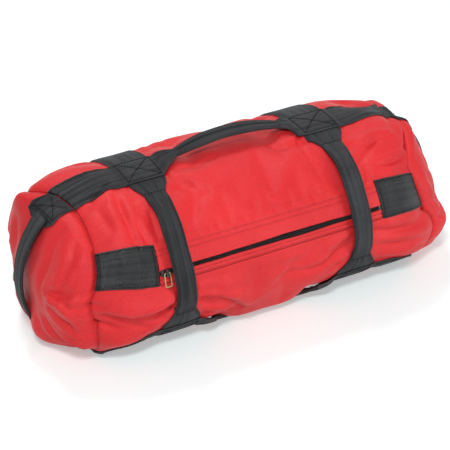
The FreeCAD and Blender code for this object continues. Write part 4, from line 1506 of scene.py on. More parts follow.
class Repeater:
    """A Geometry Nodes tree that sets small rounded beads along lines."""

    INPUTS = ("Pitch", "Bead Length", "Bead Width", "Bead Height", "Turn")

    def __init__(self) -> None:
        """Builds the tree."""
        self.tree = bpy.data.node_groups.new("beads_along_lines", "GeometryNodeTree")
        face = self.tree.interface
        face.new_socket("Lines", in_out="INPUT", socket_type="NodeSocketGeometry")
        for name in self.INPUTS:
            face.new_socket(name, in_out="INPUT", socket_type="NodeSocketFloat")
        face.new_socket("Material", in_out="INPUT", socket_type="NodeSocketMaterial")
        face.new_socket("Beads", in_out="OUTPUT", socket_type="NodeSocketGeometry")
        graph = Graph(self.tree)
        given = graph.add("NodeGroupInput")
        lines = graph.add("GeometryNodeMeshToCurve", None, {0: given.outputs["Lines"]})
        spaced = graph.add("GeometryNodeResampleCurve", {"mode": "LENGTH"},
                           {"Curve": lines.outputs[0], "Length": given.outputs["Pitch"]})
        tangent = graph.add("GeometryNodeInputTangent")
        turned = graph.add("FunctionNodeAlignRotationToVector", {"axis": "X"}, {"Vector": tangent.outputs[0]})
        spin = graph.add("ShaderNodeCombineXYZ", None, {2: given.outputs["Turn"]})
        local = graph.add("FunctionNodeEulerToRotation", None, {0: spin.outputs[0]})
        facing = graph.add("FunctionNodeRotateRotation", {"rotation_space": "LOCAL"},
                           {0: turned.outputs[0], 1: local.outputs[0]})
        bead = graph.add("GeometryNodeMeshUVSphere", None, {"Segments": 6, "Rings": 4, "Radius": 0.5})
        shape = graph.add("ShaderNodeCombineXYZ", None, {
            number: given.outputs["Bead " + size] for number, size in enumerate(("Length", "Width", "Height"))})
        placed = graph.add("GeometryNodeInstanceOnPoints", None,
                           {"Points": spaced.outputs[0], "Instance": bead.outputs[0],
                            "Rotation": facing.outputs[0], "Scale": shape.outputs[0]})
        whole = graph.add("GeometryNodeRealizeInstances", None, {0: placed.outputs[0]})
        smooth = graph.add("GeometryNodeSetShadeSmooth", None, {0: whole.outputs[0]})
        coated = graph.add("GeometryNodeSetMaterial", None,
                           {0: smooth.outputs[0], "Material": given.outputs["Material"]})
        out = graph.add("NodeGroupOutput")
        graph.join(coated.outputs[0], out.inputs[0])

    def run(self, name: str, lines: Sequence[np.ndarray], material: bpy.types.Material,
            **sizes: float) -> bpy.types.Object:
        """Beads along some lines, as a plain mesh.

        Args:
            name: name of the piece.
            lines: points of each line, in millimetres.
            material: finish of the beads.
            sizes: the tree's inputs by name, spaces written as underscores, in millimetres or radians.

        Returns:
            The piece.
        """
        mesh = bpy.data.meshes.new(name)
        points, edges = [], []
        for line in lines:
            first = len(points)
            points += (np.asarray(line) * MM).tolist()
            edges += [(number, number + 1) for number in range(first, len(points) - 1)]
        mesh.from_pydata(points, edges, [])
        made = placed(name, mesh)
        modifier = made.modifiers.new("beads", "NODES")
        modifier.node_group = self.tree
        sockets = {item.name: item.identifier for item in self.tree.interface.items_tree if item.in_out == "INPUT"}
        for key, value in sizes.items():
            scale = 1.0 if key == "Turn" else MM
            modifier[sockets[key.replace("_", " ")]] = value * scale
        modifier[sockets["Material"]] = material
        finished_mesh(made)
        return made


class Workshop:
    """What every sub-assembly needs: the cloth, the finishes and the stitcher."""

    STITCH_FLOOR = 0.5

    def __init__(self) -> None:
        """Settles the cloth and makes the finishes."""
        self.skin = Skin(BagForm())
        self.form = self.skin.form
        self.finishes = Finishes()
        self.beads = Repeater()

    def dress(self, piece: bpy.types.Object, body: str, slot: str, finish: Finish, *nodes: str) -> None:
        """Gives a finished piece its material, its body and the CAD nodes that it stands for.

        Args:
            piece: the finished piece.
            body: CAD body that it moves with.
            slot: the record's material slot; not used.
            finish: its finish.
            nodes: CAD nodes that it replaces.
        """
        piece.data.materials.clear()
        piece.data.materials.append(self.finishes[finish])
        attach(piece, body)
        if nodes:
            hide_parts(*nodes)
        LOG.info("made %s: %d faces", piece.name, len(piece.data.polygons))

    def paint(self, node: str, finish: Finish) -> None:
        """Gives a CAD node that stays a finish of this scene.

        Args:
            node: name of the node.
            finish: its finish.
        """
        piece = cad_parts[node]
        piece.data.materials.clear()
        piece.data.materials.append(self.finishes[finish])
        LOG.info("painted %s", node)

    def layer(self, name: str, faces: Sequence[np.ndarray], uv: np.ndarray, finish: Finish, slot: str, node: str,
              floor: float = 0.02, turned: bool = False, wrap: bool = False) -> bpy.types.Object:
        """One thin piece sewn to the bag.

        Args:
            name: name of the piece.
            faces: its outer and its inner points, each rows by columns.
            uv: place of each point on the flat cloth, in metres.
            finish: its finish.
            slot: the record's material slot.
            node: the CAD node that it replaces.
            floor: the lowest height that its points may have.
            turned: whether its rows run towards the left end.
            wrap: whether it goes all the way round.

        Returns:
            The piece.
        """
        for points in faces:
            points[..., 2] = np.maximum(points[..., 2], floor)
        top, under, uv = (grid[::-1] if turned else grid for grid in (*faces, uv))
        made = closed_layer(name, top, under, uv, wrap)
        self.dress(made, "bag", slot, finish, node)
        return made

    def sew(self, name: str, lines: Sequence[np.ndarray], body: str = "bag") -> None:
        """Rows of black stitches, none of them in the ground.

        Args:
            name: name of the piece.
            lines: points of each row, in millimetres.
            body: CAD body that the stitches move with.
        """
        lines = [np.concatenate((line[:, :2], np.maximum(line[:, 2:], self.STITCH_FLOOR)), axis=1) for line in lines]
        made = self.beads.run(name, lines, self.finishes[Finish.THREAD], Pitch=3.6, Bead_Length=3.2, Bead_Width=1.15,
                              Bead_Height=0.8, Turn=0.0)
        self.dress(made, body, "webbing", Finish.THREAD)


# Sub-assemblies


@dataclass
class Shell:
    """The red body panel, the two end panels and the bindings of their seams."""

    shop: Workshop
    cloth: float = 1.5
    slot_half: float = 15.3
    slot_reach: float = 152.0
    fill: float = 0.85
    binding: tuple = (212.0, 223.0)
    binding_depths: tuple = (-2.6, -3.6)

    def build(self) -> None:
        """Makes every panel."""
        self._body()
        for side in Side:
            self._end(side)
            self._binding(side)

    def _finish(self, panel: bpy.types.Object, node: str) -> None:
        """Gives a panel the thickness of its cloth, inwards, and its finish.

        Args:
            panel: the panel.
            node: the CAD node that it replaces.
        """
        wall = panel.modifiers.new("cloth", "SOLIDIFY")
        wall.thickness, wall.offset = self.cloth * MM, -1.0
        finished_mesh(panel)
        self.shop.dress(panel, "bag", "shell_cloth", Finish.SHELL, node)

    def _body(self) -> None:
        """The wrapped panel, open under the zip."""
        skin, form = self.shop.skin, self.shop.form
        x, q = skin.spots()
        faces = quads(numbered(*x.shape), wrap=True)
        off_zip = np.abs(q.ravel()[faces] - skin.ZIP).max(axis=1)
        closed = (np.abs(x.ravel()[faces].mean(axis=1)) > self.slot_reach) | (off_zip > self.slot_half + 1)
        uv = on_cloth(x, (q - form.crown) / form.stretch(x)).reshape(-1, 2)
        panel = mesh_object("body_panel_cloth", skin.body.reshape(-1, 3), faces[closed], uv)
        drop_loose(panel)
        self._finish(panel, "body_panel")

    def _end(self, side: Side) -> None:
        """One domed end panel.

        Args:
            side: which end.
        """
        grid = self.shop.skin.ends[side]
        faces = quads(numbered(*grid.shape[:2]), wrap=False)
        if side is Side.LEFT:
            faces = faces[:, ::-1]
        uv = grid[..., 1:].reshape(-1, 2) * MM
        panel = mesh_object("end_panel_%s_cloth" % side.label, grid.reshape(-1, 3), faces, uv)
        self._finish(panel, "end_panel_" + side.label)

    def _binding(self, side: Side) -> None:
        """Tape over the raw edges of one seam, inside the bag.

        Args:
            side: which end.
        """
        skin = self.shop.skin
        places, outwards = skin.places[None, :], side.value * np.linspace(*self.binding, 5)[:, None]
        tape = [skin.at(np.sort(outwards, axis=0), places, depth) for depth in self.binding_depths]
        self.shop.layer("seam_binding_" + side.label, tape, on_cloth(outwards, places), Finish.BINDING, "binding",
                        "seam_tape_" + side.label, wrap=True)


@dataclass
class Zip:
    """The zip in the front of the bag, with its storm flap, facing, tapes, coil and fittings."""

    shop: Workshop
    half_length: float = 151.7
    coil_half_length: float = 147.4
    slot: float = 5.4
    lie: float = 0.25
    flap_width: float = 35.0
    facing_width: float = 12.0
    flap: float = 1.2
    tape_width: float = 15.0
    tape_gap: float = 0.9
    tape: float = 0.8
    tape_lie: float = -2.6
    coil_pitch: float = 1.5
    flap_rows: tuple = (18.4, 24.6)
    facing_rows: tuple = (5.0, 9.8)

    def build(self) -> None:
        """Makes the zip from the cloth outwards."""
        middle = self.shop.skin.ZIP
        above, below = middle + self.slot / 2, middle - self.slot / 2
        self._strip("storm_flap", above, above + self.flap_width, Finish.FLAP, "zip_flap_upper", rolled=-1)
        self._strip("turned_facing", below - self.facing_width, below, Finish.FLAP, "zip_facing_lower", rolled=1)
        self._strip("tape_upper", middle + self.tape_gap, middle + self.tape_width, Finish.ZIP_TAPE, "zip_tape_upper")
        self._strip("tape_lower", middle - self.tape_width, middle - self.tape_gap, Finish.ZIP_TAPE, "zip_tape_lower")
        self._coil()
        self._stitches()
        for node, finish in (("zip_slider", Finish.DARK_METAL), ("zip_pull", Finish.GOLD),
                             ("zip_stop_left", Finish.COIL), ("zip_stop_right", Finish.COIL)):
            self.shop.paint(node, finish)

    def _strip(self, name: str, low: float, high: float, finish: Finish, node: str, rolled: int = 0) -> None:
        """One strip of cloth or tape along the zip.

        Args:
            name: name of the piece.
            low: place of its lower edge.
            high: place of its upper edge.
            finish: its finish.
            node: the CAD node that it replaces.
            rolled: which edge is turned under, -1 the lower, 1 the upper, 0 neither, as on tape.
        """
        lift, thick, slot = (self.lie, self.flap, "shell_cloth") if rolled else (self.tape_lie, self.tape, "zip_tape")
        xs = np.linspace(-self.half_length, self.half_length, 150)[:, None]
        shares = np.concatenate(((0.0, 0.02, 0.05), np.linspace(0.1, 0.9, 14), (0.95, 0.98, 1.0)))[None, :]
        places, end = blend(low, high, shares), np.minimum(shares, 1 - shares)
        plump = thick * (0.65 + 0.35 * np.clip(end / 0.03, 0, 1))
        if rolled:
            edge, rows = (1 - shares, self.flap_rows) if rolled < 0 else (shares, self.facing_rows)
            wave = 0.35 * smooth_noise(31, xs, np.zeros_like(xs), 46.0) - 1.1 * rolled * np.exp(-((xs - 34) / 46) ** 2)
            places = places + wave * edge ** 3
            plump = plump + 0.7 * np.exp(-((edge - 0.96) / 0.06) ** 2)
            away = edge * (low - high) + (high - low)
            plump = plump - sum(0.5 * np.exp(-((away - row) / 1.2) ** 2) for row in rows)
            plump = blend(0.12, plump, ease(0.0, 0.22, edge))
        skin = self.shop.skin
        uv = on_cloth(xs, places) if rolled else on_cloth(places - (low + high) / 2, xs)
        self.shop.layer(name, [skin.at(xs, places, lift + plump), skin.at(xs, places, lift)], uv, finish, slot, node)

    def _coil(self) -> None:
        """Two interlocked rows of nylon coil."""
        skin = self.shop.skin
        xs = np.linspace(-self.coil_half_length, self.coil_half_length, 200)
        lines = [skin.at(xs + shift, skin.ZIP + side * 1.15, -0.85)
                 for side, shift in ((1, 0.0), (-1, self.coil_pitch / 2))]
        made = self.shop.beads.run("coil_rows", lines, self.shop.finishes[Finish.COIL], Pitch=self.coil_pitch,
                                   Bead_Length=0.95, Bead_Width=3.0, Bead_Height=2.2, Turn=0.12)
        self.shop.dress(made, "bag", "zip_coil", Finish.COIL, "zip_coil")

    def _stitches(self) -> None:
        """Twin rows above and below the opening."""
        skin = self.shop.skin
        xs = np.linspace(-150.5, 150.5, 180)
        places = [skin.ZIP + self.slot / 2 + row for row in self.flap_rows]
        places += [skin.ZIP - self.slot / 2 - row for row in self.facing_rows]
        lines = [skin.at(xs, place, self.lie + self.flap + 0.1) for place in places]
        made = self.shop.beads.run("zip_stitches", lines, self.shop.finishes[Finish.RED_THREAD], Pitch=3.6,
                                   Bead_Length=2.5, Bead_Width=0.8, Bead_Height=0.5, Turn=0.0)
        self.shop.dress(made, "bag", "shell_cloth", Finish.RED_THREAD)


@dataclass
class WebbingWork:
    """What all that is sewn from the strap webbing has in common."""

    shop: Workshop
    half: float = 25.0
    web: float = 1.8


@dataclass
class Straps(WebbingWork):
    """The two girth straps and the grips that they fold into across the zip."""

    grip_half: float = 13.0
    low_root: float = -34.0
    high_root: float = 113.0
    stand: float = 9.0
    slack: float = 4.8
    lie: float = 0.25

    def build(self) -> None:
        """Makes both straps and both grips."""
        for side in Side:
            self._strap(side)
            self._grip(side)

    def _half_width(self, place: np.ndarray) -> np.ndarray:
        """Half the strap's width.

        Args:
            place: places counted on from the front upper root.

        Returns:
            The half width at each place.
        """
        upper, end = ease(self.high_root + 2, self.high_root + 32, place), self.shop.form.girth + self.low_root
        return blend(self.grip_half + 0.4, self.half, upper * (1 - ease(end - 36, end - 2, place)))

    def _strap(self, side: Side) -> None:
        """One girth strap, flat over the top, back and underside, pleated where it narrows.

        Args:
            side: which strap.
        """
        skin, centre, end = self.shop.skin, side.value * STRAP_X, self.shop.form.girth + self.low_root
        places = np.linspace(self.high_root + 2, end - 2, 150)[:, None]
        shares = edged(15)[None, :]
        half = self._half_width(places)
        folded = 1 - (half - self.grip_half) / (self.half - self.grip_half)
        pleats = 1.3 * np.sin(np.pi * folded) * np.cos(shares * 7.3 + 0.6) ** 2 + 1.7 * folded ** 2
        thick = self.web + np.where(np.abs(shares) < 0.97, pleats, 0.4 * pleats)
        x = centre + shares * half + 0.25 * smooth_noise(41 + side.value, places, 0 * places, 60.0)
        faces = [skin.at(x, places, self.lie + thick * height) for height in edge_height(shares)]
        self.shop.layer("girth_webbing_" + side.label, faces, on_cloth(shares * self.half, places), Finish.WEBBING,
                        "webbing", "girth_strap_" + side.label)
        flat = slice(6, 139)
        lines = [skin.at(centre + way * (half[flat, 0] - 3.0), places[flat, 0], LIE + self.web) for way in (-1, 1)]
        for row in (self.high_root + 4, self.high_root + 9, end - 4, end - 9):
            reach = float(self._half_width(np.array(row))) - 2.5
            lines.append(skin.at(centre + np.linspace(-reach, reach, 12), row, 0.5 + self.web + 1.6))
        self.shop.sew("girth_stitches_" + side.label, lines)

    def _grip(self, side: Side) -> None:
        """One front grip: webbing folded once lengthwise, bowed off the cloth for the hand.

        Args:
            side: which strap it belongs to.
        """
        skin, centre, middle = self.shop.skin, side.value * STRAP_X, (self.low_root + self.high_root) / 2
        knots = [self._plain(place, lift) for place, lift in (
            (self.low_root, LIE), (middle, LIE + self.stand), (self.high_root, LIE))]
        shares = np.linspace(-0.035, 1.035, 64)
        line, out, across = bowed(knots, shares, 0, centre)
        foot = skin.at(centre, blend(self.low_root, self.high_root, shares), LIE)
        line += out * np.maximum(0.2 - ((line - foot) * out).sum(-1), 0)[:, None]
        line[:, 0] -= self.slack * np.sin(np.pi * np.clip(shares, 0, 1)) ** 2
        root = np.minimum(shares, 1 - shares)
        half = self.grip_half + 0.9 * (1 - ease(0.0, 0.16, root)) + 0.25 * np.sin(shares * 21)
        thick = 2 * self.web + (1 - ease(0.0, 0.10, root))
        made = folded_bar("grip_" + side.label, line + out * (thick / 2)[:, None], across, out, half, thick,
                          slit=side.value)
        self.shop.dress(made, "bag", "webbing", Finish.GRIP, "front_grip_" + side.label)
        self.shop.sew("grip_stitches_" + side.label, twin_rows(line, out, across, thick, half - 3.0, 5))

    def _plain(self, place: float, lift: float) -> np.ndarray:
        """Point (y, z) at a height over the plain middle girth."""
        girth, hub = self.shop.form.section(0.0), np.array((self.shop.form.centre, 0.0))
        return girth.points(np.array((place,)))[0] + girth.outward(place) * lift + hub


@dataclass
class LongStraps(WebbingWork):
    """The straps along the top and the lower front corner, box-stitched over the girth straps, with their handles."""

    last: float = 223.8
    handle_half: float = 72.0
    handle_thick: float = 5.4
    drop: float = 84.0
    hem: float = 1.3

    def build(self) -> None:
        """Makes both routes and their handles."""
        for route in Route:
            for side in Side:
                self._strap(route, side)
                self._stitches(route, side)
            self._handle(route)

    @staticmethod
    def _neck(route: Route) -> tuple:
        """Half width of a strap where it turns into its handle, and how far its middle stands off the cloth there."""
        return (7.4, 9.2) if route is Route.TOP else (11.0, 5.6)

    def _box(self) -> list:
        """Box and cross over a girth strap, as pairs of (along, across) points about its middle."""
        return box_and_cross((2.5 - self.half, 3.5 - self.half), (self.half - 2.5, self.half - 3.5))

    def centre(self, route: Route, x: np.ndarray, side: Side = Side.LEFT) -> np.ndarray:
        """Places of a route's middle on the middle girth; the top one runs back a little at the right.

        Args:
            route: which strap.
            x: distances from the middle of the bag.
            side: which end of it.

        Returns:
            The place at each x.
        """
        form = self.shop.form
        if route is Route.TOP:
            return form.crown + (12.0 * ease(150.0, 222.0, x) if side is Side.RIGHT else 0.0 * x)
        found = []
        for spot in np.ravel(x):
            girth = form.section(float(spot))
            found.append(form.crown + (-girth.lengths[7] - self.drop - girth.crown_place) * form.girth / girth.total)
        return np.array(found).reshape(np.shape(x))

    def _strap(self, route: Route, side: Side) -> None:
        """One sewn end of a long strap, narrowed and raised where it turns into its handle.

        Args:
            route: which strap.
            side: which end of it.
        """
        skin, (neck_half, root_rise) = self.shop.skin, self._neck(route)
        edge, outer, over = STRAP_X - self.half, STRAP_X + self.half, self.web + LIE
        xs = np.concatenate((np.linspace(self.handle_half + 0.3, edge, 16), np.linspace(edge + 1, outer + 7, 50),
                             np.linspace(outer + 9, self.last, 40)))[:, None]
        shares = edged(37)[None, :]
        wide = ease(self.handle_half, edge + 4, xs) ** 0.8
        folded = 1 - wide
        lift = LIE + over * (1 - ease(outer - 1, outer + 6, xs))
        turn = edge + 2 if route is Route.TOP else edge - 8
        rise = (root_rise - self.handle_thick / 2 - LIE - over) * (1 - ease(self.handle_half, turn, xs))
        pleats = 1.6 * np.sin(np.pi * np.clip(folded, 0, 1)) * np.cos(shares * 6.2 + 0.9) ** 2
        dent = stitched_in(np.stack(np.broadcast_arrays(xs - STRAP_X, shares * self.half), -1), self._box())
        pleats = pleats - np.where(folded > 0.01, 0.0, dent) + self.hem * (1 - ease(5.0, 8.0, self.last - xs))
        thick = (self.web + (self.handle_thick - self.web) * folded ** 1.5
                 + np.where(np.abs(shares) < 0.97, pleats, 0.3 * pleats))
        places = (self.centre(route, xs, side)
                  + shares * (blend(neck_half, self.half, wide) * self.shop.form.stretch(xs)))
        frayed = 0.8 * smooth_noise(81 + side.value, shares * 25, 0 * shares, 4.0) * ease(self.last - 6, self.last, xs)
        faces = [skin.at(side.value * (xs + frayed), places, lift + rise + thick * height)
                 for height in edge_height(shares)]
        self.shop.layer("%s_webbing_%s" % (route.value, side.label), faces, on_cloth(shares * self.half, xs),
                        Finish.WEBBING, "webbing", "%s_strap_%s" % (route.value, side.label),
                        turned=side is Side.LEFT)

    def _stitches(self, route: Route, side: Side) -> None:
        """Box and cross over the girth strap, rows along both edges and across the end.

        Args:
            route: which strap.
            side: which end of it.
        """
        reach, single = self.half - 3.5, 0.35 + self.web
        double = LIE + (self.web + LIE) + self.web - 0.35
        rows = [(blend(start[0], stop[0], np.linspace(0, 1, 24)) + STRAP_X,
                 blend(start[1], stop[1], np.linspace(0, 1, 24)), double) for start, stop in self._box()]
        stretch = self.shop.form.stretch
        xs = np.linspace(STRAP_X + self.half + 8, self.last - 2, 30)
        rows += [(xs, way * (reach * stretch(xs)), single) for way in (-1, 1)]
        for x in (np.full(18, self.last - 3.0), np.full(18, self.last - 6.5)):
            rows.append((x, np.linspace(-1, 1, 18) * reach * stretch(x), single))
        self.shop.sew("%s_stitches_%s" % (route.value, side.label), [
            self.shop.skin.at(side.value * x, self.centre(route, x, side) + across, height)
            for x, across, height in rows])

    def _handle(self, route: Route) -> None:
        """The folded grip between the two ends of a strap, bowed up over the crown or in under the bag.

        Args:
            route: which strap.
        """
        form, body = self.shop.form, route.value + "_handle"
        low, high = (np.array(corner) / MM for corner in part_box(route.value + "_handle"))
        LOG.info("%s handle box: %s to %s", route.value, np.round(low, 1), np.round(high, 1))
        xs = np.linspace(-self.handle_half, self.handle_half, 73)
        bow = 1 - (xs / self.handle_half) ** 2
        neck_half, root_rise = self._neck(route)
        girth, root_x = form.section(0.0), np.full(1, self.handle_half)
        ends = [self.shop.skin.at(side.value * root_x, self.centre(route, root_x), root_rise)[0, 1:] for side in Side]
        root = blend(ends[0], ends[1], (xs / self.handle_half / 2 + 0.5)[:, None])
        if route is Route.TOP:
            spread = np.interp(np.abs(xs), (0, 32, 58, 72), (12.5, 12.5, 10.0, neck_half)) + 0.25 * np.sin(xs / 9.0)
            root[:, 1] = np.maximum(root[:, 1], girth.points(np.array((form.crown,)))[0, 1] + root_rise)
            move, start, stop, fast = np.array((0.0, 11.2)), math.pi / 2, math.pi / 2, bow
        else:
            spread = np.interp(np.abs(xs), (0, 50, 62, 72), (12.5, 13.0, 12.6, neck_half))
            normal = girth.outward(-girth.lengths[7] - self.drop)
            move, start, stop = np.array((33.0, -15.6)), math.atan2(normal[1], normal[0]), -math.pi / 2
            fast = 1 - (1 - bow) ** 1.15
        centre = np.concatenate((xs[:, None], root + np.stack((bow, fast), -1) * move), axis=1)
        angle = blend(start, stop, bow)
        out = np.stack((0 * xs, np.cos(angle), np.sin(angle)), -1)
        across = np.stack((0 * xs, -np.sin(angle), np.cos(angle)), -1)
        thick = np.full(len(xs), self.handle_thick - 0.1)
        made = folded_bar(route.value + "_grip", centre, across, out, spread, thick, slit=0, groove=1.1)
        self.shop.dress(made, body, "webbing", Finish.GRIP, body)
        self.shop.sew(route.value + "_grip_stitches", twin_rows(centre, out, across, thick / 2, spread * 0.16, 3), body)


@dataclass
class Patches(WebbingWork):
    """The webbing patches over the two ends of the zip."""

    near: float = 152.3
    far: float = 223.6

    def build(self) -> None:
        """Makes both patches and their stitches."""
        for side in Side:
            self._patch(side)
            self._stitches(side)

    def _centre(self, side: Side, xs: np.ndarray) -> np.ndarray:
        """Place of the patch's middle along the bag."""
        outer = 45.0 if side is Side.LEFT else 28.0
        return blend(self.shop.skin.ZIP + 10.0, outer, (xs - self.near) / (self.far - self.near))

    def _reach(self, side: Side, xs: np.ndarray) -> np.ndarray:
        """Share of the patch's width that it has over the cloth, gathered where it meets the seam."""
        gather = 0.14 if side is Side.LEFT else 0.04
        return self.shop.form.stretch(xs) * (1 - gather * ease(self.near + 12, self.far, xs))

    def _patch(self, side: Side) -> None:
        """One patch, its inner end raw and slightly frayed.

        Args:
            side: which end of the zip it covers.
        """
        skin, shares, steps = self.shop.skin, edged(17)[None, :], np.linspace(0, 1, 36)[:, None]
        upper, lower = edge_height(shares)
        ragged = 0.9 * smooth_noise(61 + side.value, shares * 25, 0 * shares, 7.0) * (1 - ease(0, 0.12, steps))
        xs = blend(self.near, self.far, steps) + ragged
        ends = np.minimum(steps, 1 - steps)
        thin = 0.7 + 0.3 * np.clip(ends / 0.03, 0, 1)
        places = self._centre(side, xs) + shares * self.half * self._reach(side, xs)
        ripple = 0.5 * (1 + smooth_noise(66 + side.value, xs, 0 * xs, 22.0)) * ease(0, 0.08, ends)
        faces = [skin.at(side.value * xs, places, LIE + ripple + self.web * upper * thin),
                 skin.at(side.value * xs, places, LIE + self.web * lower * thin)]
        self.shop.layer("zip_patch_" + side.label, faces, on_cloth(shares * self.half, xs), Finish.PATCH,
                        "patch_webbing", "zip_end_patch_" + side.label, turned=side is Side.LEFT)

    def _stitches(self, side: Side) -> None:
        """Rows along the edges of a patch and across both its ends.

        Args:
            side: which end of the zip it covers.
        """
        inset, xs = self.half - 2.5, np.linspace(self.near + 3, self.far - 3, 30)
        rows = [(xs, way * (inset * self._reach(side, xs))) for way in (-1, 1)]
        for x in (np.full(16, self.near + 4), np.full(16, self.far - 4)):
            rows.append((x, np.linspace(-1, 1, 16) * inset * self._reach(side, x)))
        self.shop.sew("patch_stitches_" + side.label, [
            self.shop.skin.at(side.value * x, self._centre(side, x) + across, self.web + 1.2) for x, across in rows])


@dataclass
class EndHandles(WebbingWork):
    """The upper and lower anchor of each end handle and the bowed grip between them."""

    grip_half: float = 12.6
    upper: float = 40.0
    lower: float = 34.0
    stand: float = 6.0
    floor: float = 0.1

    def build(self) -> None:
        """Makes the handle of each end."""
        for side in Side:
            for name, length in (("upper", self.upper), ("lower", self.lower)):
                self._anchor(side, name, length)
            self._handle(side)

    def _anchor(self, side: Side, name: str, length: float) -> None:
        """One stitched anchor that starts at the seam and narrows towards the handle.

        Args:
            side: which end.
            name: upper or lower.
            length: how far it reaches from the seam.
        """
        skin, above, shares = self.shop.skin, name == "upper", edged(21)[None, :]
        steps, away = np.linspace(0, 1, 30)[:, None], np.linspace(1.6, length, 30)[:, None]
        ragged = 0.5 * smooth_noise(71 + side.value, shares * 25, 0 * shares, 5.0)
        half = blend(self.half - 2.5, self.half, ease(0.1, 0.6, steps)) * (1 - 0.3 * ease(0.78, 1.0, steps))
        pleats = 1.4 * ease(0.72, 1.0, steps) * np.cos(shares * 6.5 + 0.4) ** 2 + 1.2 * (1 - ease(5.0, 8.0, away))
        wide, end = self.half - 3.5, length - 12.0
        lines = box_and_cross((-wide, 3.5), (wide, end)) + [((-wide, end + 4.0), (wide, end + 4.0))]
        spot = np.stack(np.broadcast_arrays(shares * self.half, away), -1)
        thick = self.web + np.where(np.abs(shares) < 0.97, pleats - stitched_in(spot, lines), 0.3 * pleats)
        y = shares * (half + ragged * (1 - ease(0, 0.1, steps)))
        faces = [skin.on_end(side, y, away, LIE + thick * height, above) for height in edge_height(shares)]
        fix_outward(self.shop.layer("%s_anchor_%s" % (name, side.label), faces, spot * MM, Finish.WEBBING, "webbing",
                                    "end_anchor_%s_%s" % (name, side.label), floor=self.floor))
        rows = []
        for start, stop in lines:
            points = blend(np.array(start), np.array(stop), np.linspace(0, 1, 14)[:, None])
            rows.append(np.concatenate([skin.on_end(side, point[None, :1], point[None, 1:],
                                                    np.array([[0.2 + self.web]]), above)[0] for point in points]))
        self.shop.sew("%s_anchor_stitches_%s" % (name, side.label), rows)

    def _handle(self, side: Side) -> None:
        """One bowed grip, folded from the full width at its upper root.

        Args:
            side: which end.
        """
        skin = self.shop.skin
        low, high = (skin.on_end(side, np.zeros((1, 1)), np.array([[length - 3.0]]), np.array([[LIE]]), above)[0, 0]
                     for above, length in ((False, self.lower), (True, self.upper)))
        reach = max(abs(skin.ends[side][skin.QUARTER, :, 0])) + self.stand
        knots = [low[[0, 2]], np.array((side.value * reach, (low[2] + high[2]) / 2)), high[[0, 2]]]
        shares = np.linspace(-0.03, 1.03, 56)
        line, out, across = bowed(knots, shares, 1, self.shop.form.centre)
        half = (self.grip_half + np.interp(shares, (0.0, 0.1, 0.5, 0.9, 1.0), (1.8, 0.6, 0.2, 1.0, 2.4))
                + 0.2 * np.sin(shares * 17))
        thick = 2 * self.web + (1 - ease(0.0, 0.12, np.minimum(shares, 1 - shares)))
        made = folded_bar("end_grip_" + side.label, line + out * (thick / 2)[:, None], across, out, half, thick,
                          slit=1, groove=0.9)
        self.shop.dress(made, "bag", "webbing", Finish.GRIP, "end_handle_" + side.label)
        self.shop.sew("end_grip_stitches_" + side.label, twin_rows(line, out, across, thick, half * 0.82, 4))


@dataclass
class Fillers:
    """The two sacks of sand inside the shell, which take up its form, and their closures."""

    shop: Workshop
    split: float = 5.0
    sack_gap: float = 8.0
    sand_gap: float = 9.4
    drop: float = 5.0
    hub_height: float = 95.0

    def build(self) -> None:
        """Makes both sacks and their sand and finishes their closures."""
        for side in Side:
            self._filling(side, "filler_sack", Finish.SACK, "filler_cloth", self.sack_gap)
            self._filling(side, "sand_fill", Finish.SAND, "sand", self.sand_gap)
            self.shop.paint("sack_closure_" + side.label, Finish.HOOKS)

    def _filling(self, side: Side, node: str, finish: Finish, slot: str, gap: float) -> None:
        """One closed form inside half of the shell, a gap smaller than it all round.

        Args:
            side: which half.
            node: first part of the name of the CAD node that it replaces.
            finish: its finish.
            slot: the record's material slot.
            gap: how far it stays from the shell.
        """
        skin, seam = self.shop.skin, self.shop.form.seam
        hub = np.array((self.shop.form.centre, self.hub_height))
        grids = []
        for grid in (skin.body, skin.ends[side]):
            spokes = grid[..., 1:] - hub
            length = np.linalg.norm(spokes, axis=-1)
            within = np.maximum(lowest_near(length) - gap, 0.6 * length) / np.maximum(length, 1.0)
            flat = hub + spokes * within[..., None] - (0.0, self.drop)
            out = side.value * (lowest_near(side.value * grid[..., 0]) - gap)
            grids.append(np.concatenate((out[..., None], flat), axis=-1)[::2, ::2])
        own = side.value * skin.xs[::2] > self.split + gap
        body, cap = grids[0][own], grids[1]
        reach = np.abs(skin.xs[::2][own])
        inner = self.split + gap - self.sack_gap
        body[..., 0] = side.value * np.interp(reach, (reach.min(), seam), (inner, seam - gap))[:, None]
        points, faces, _ = capped(body, [cap, spanned(body[-1])] if side is Side.LEFT else [spanned(body[0]), cap])
        name = "%s_%s" % (node, side.label)
        made = mesh_object("filled_" + name, points, faces, on_cloth(points[:, 0] + points[:, 1], points[:, 2]))
        self.shop.dress(made, "bag", slot, finish, name)


@dataclass(frozen=True)
class Lamp:
    """One soft square lamp, aimed at the bag."""

    name: str
    place: tuple
    size: float
    power: float
    colour: tuple = (1.0, 1.0, 1.0)


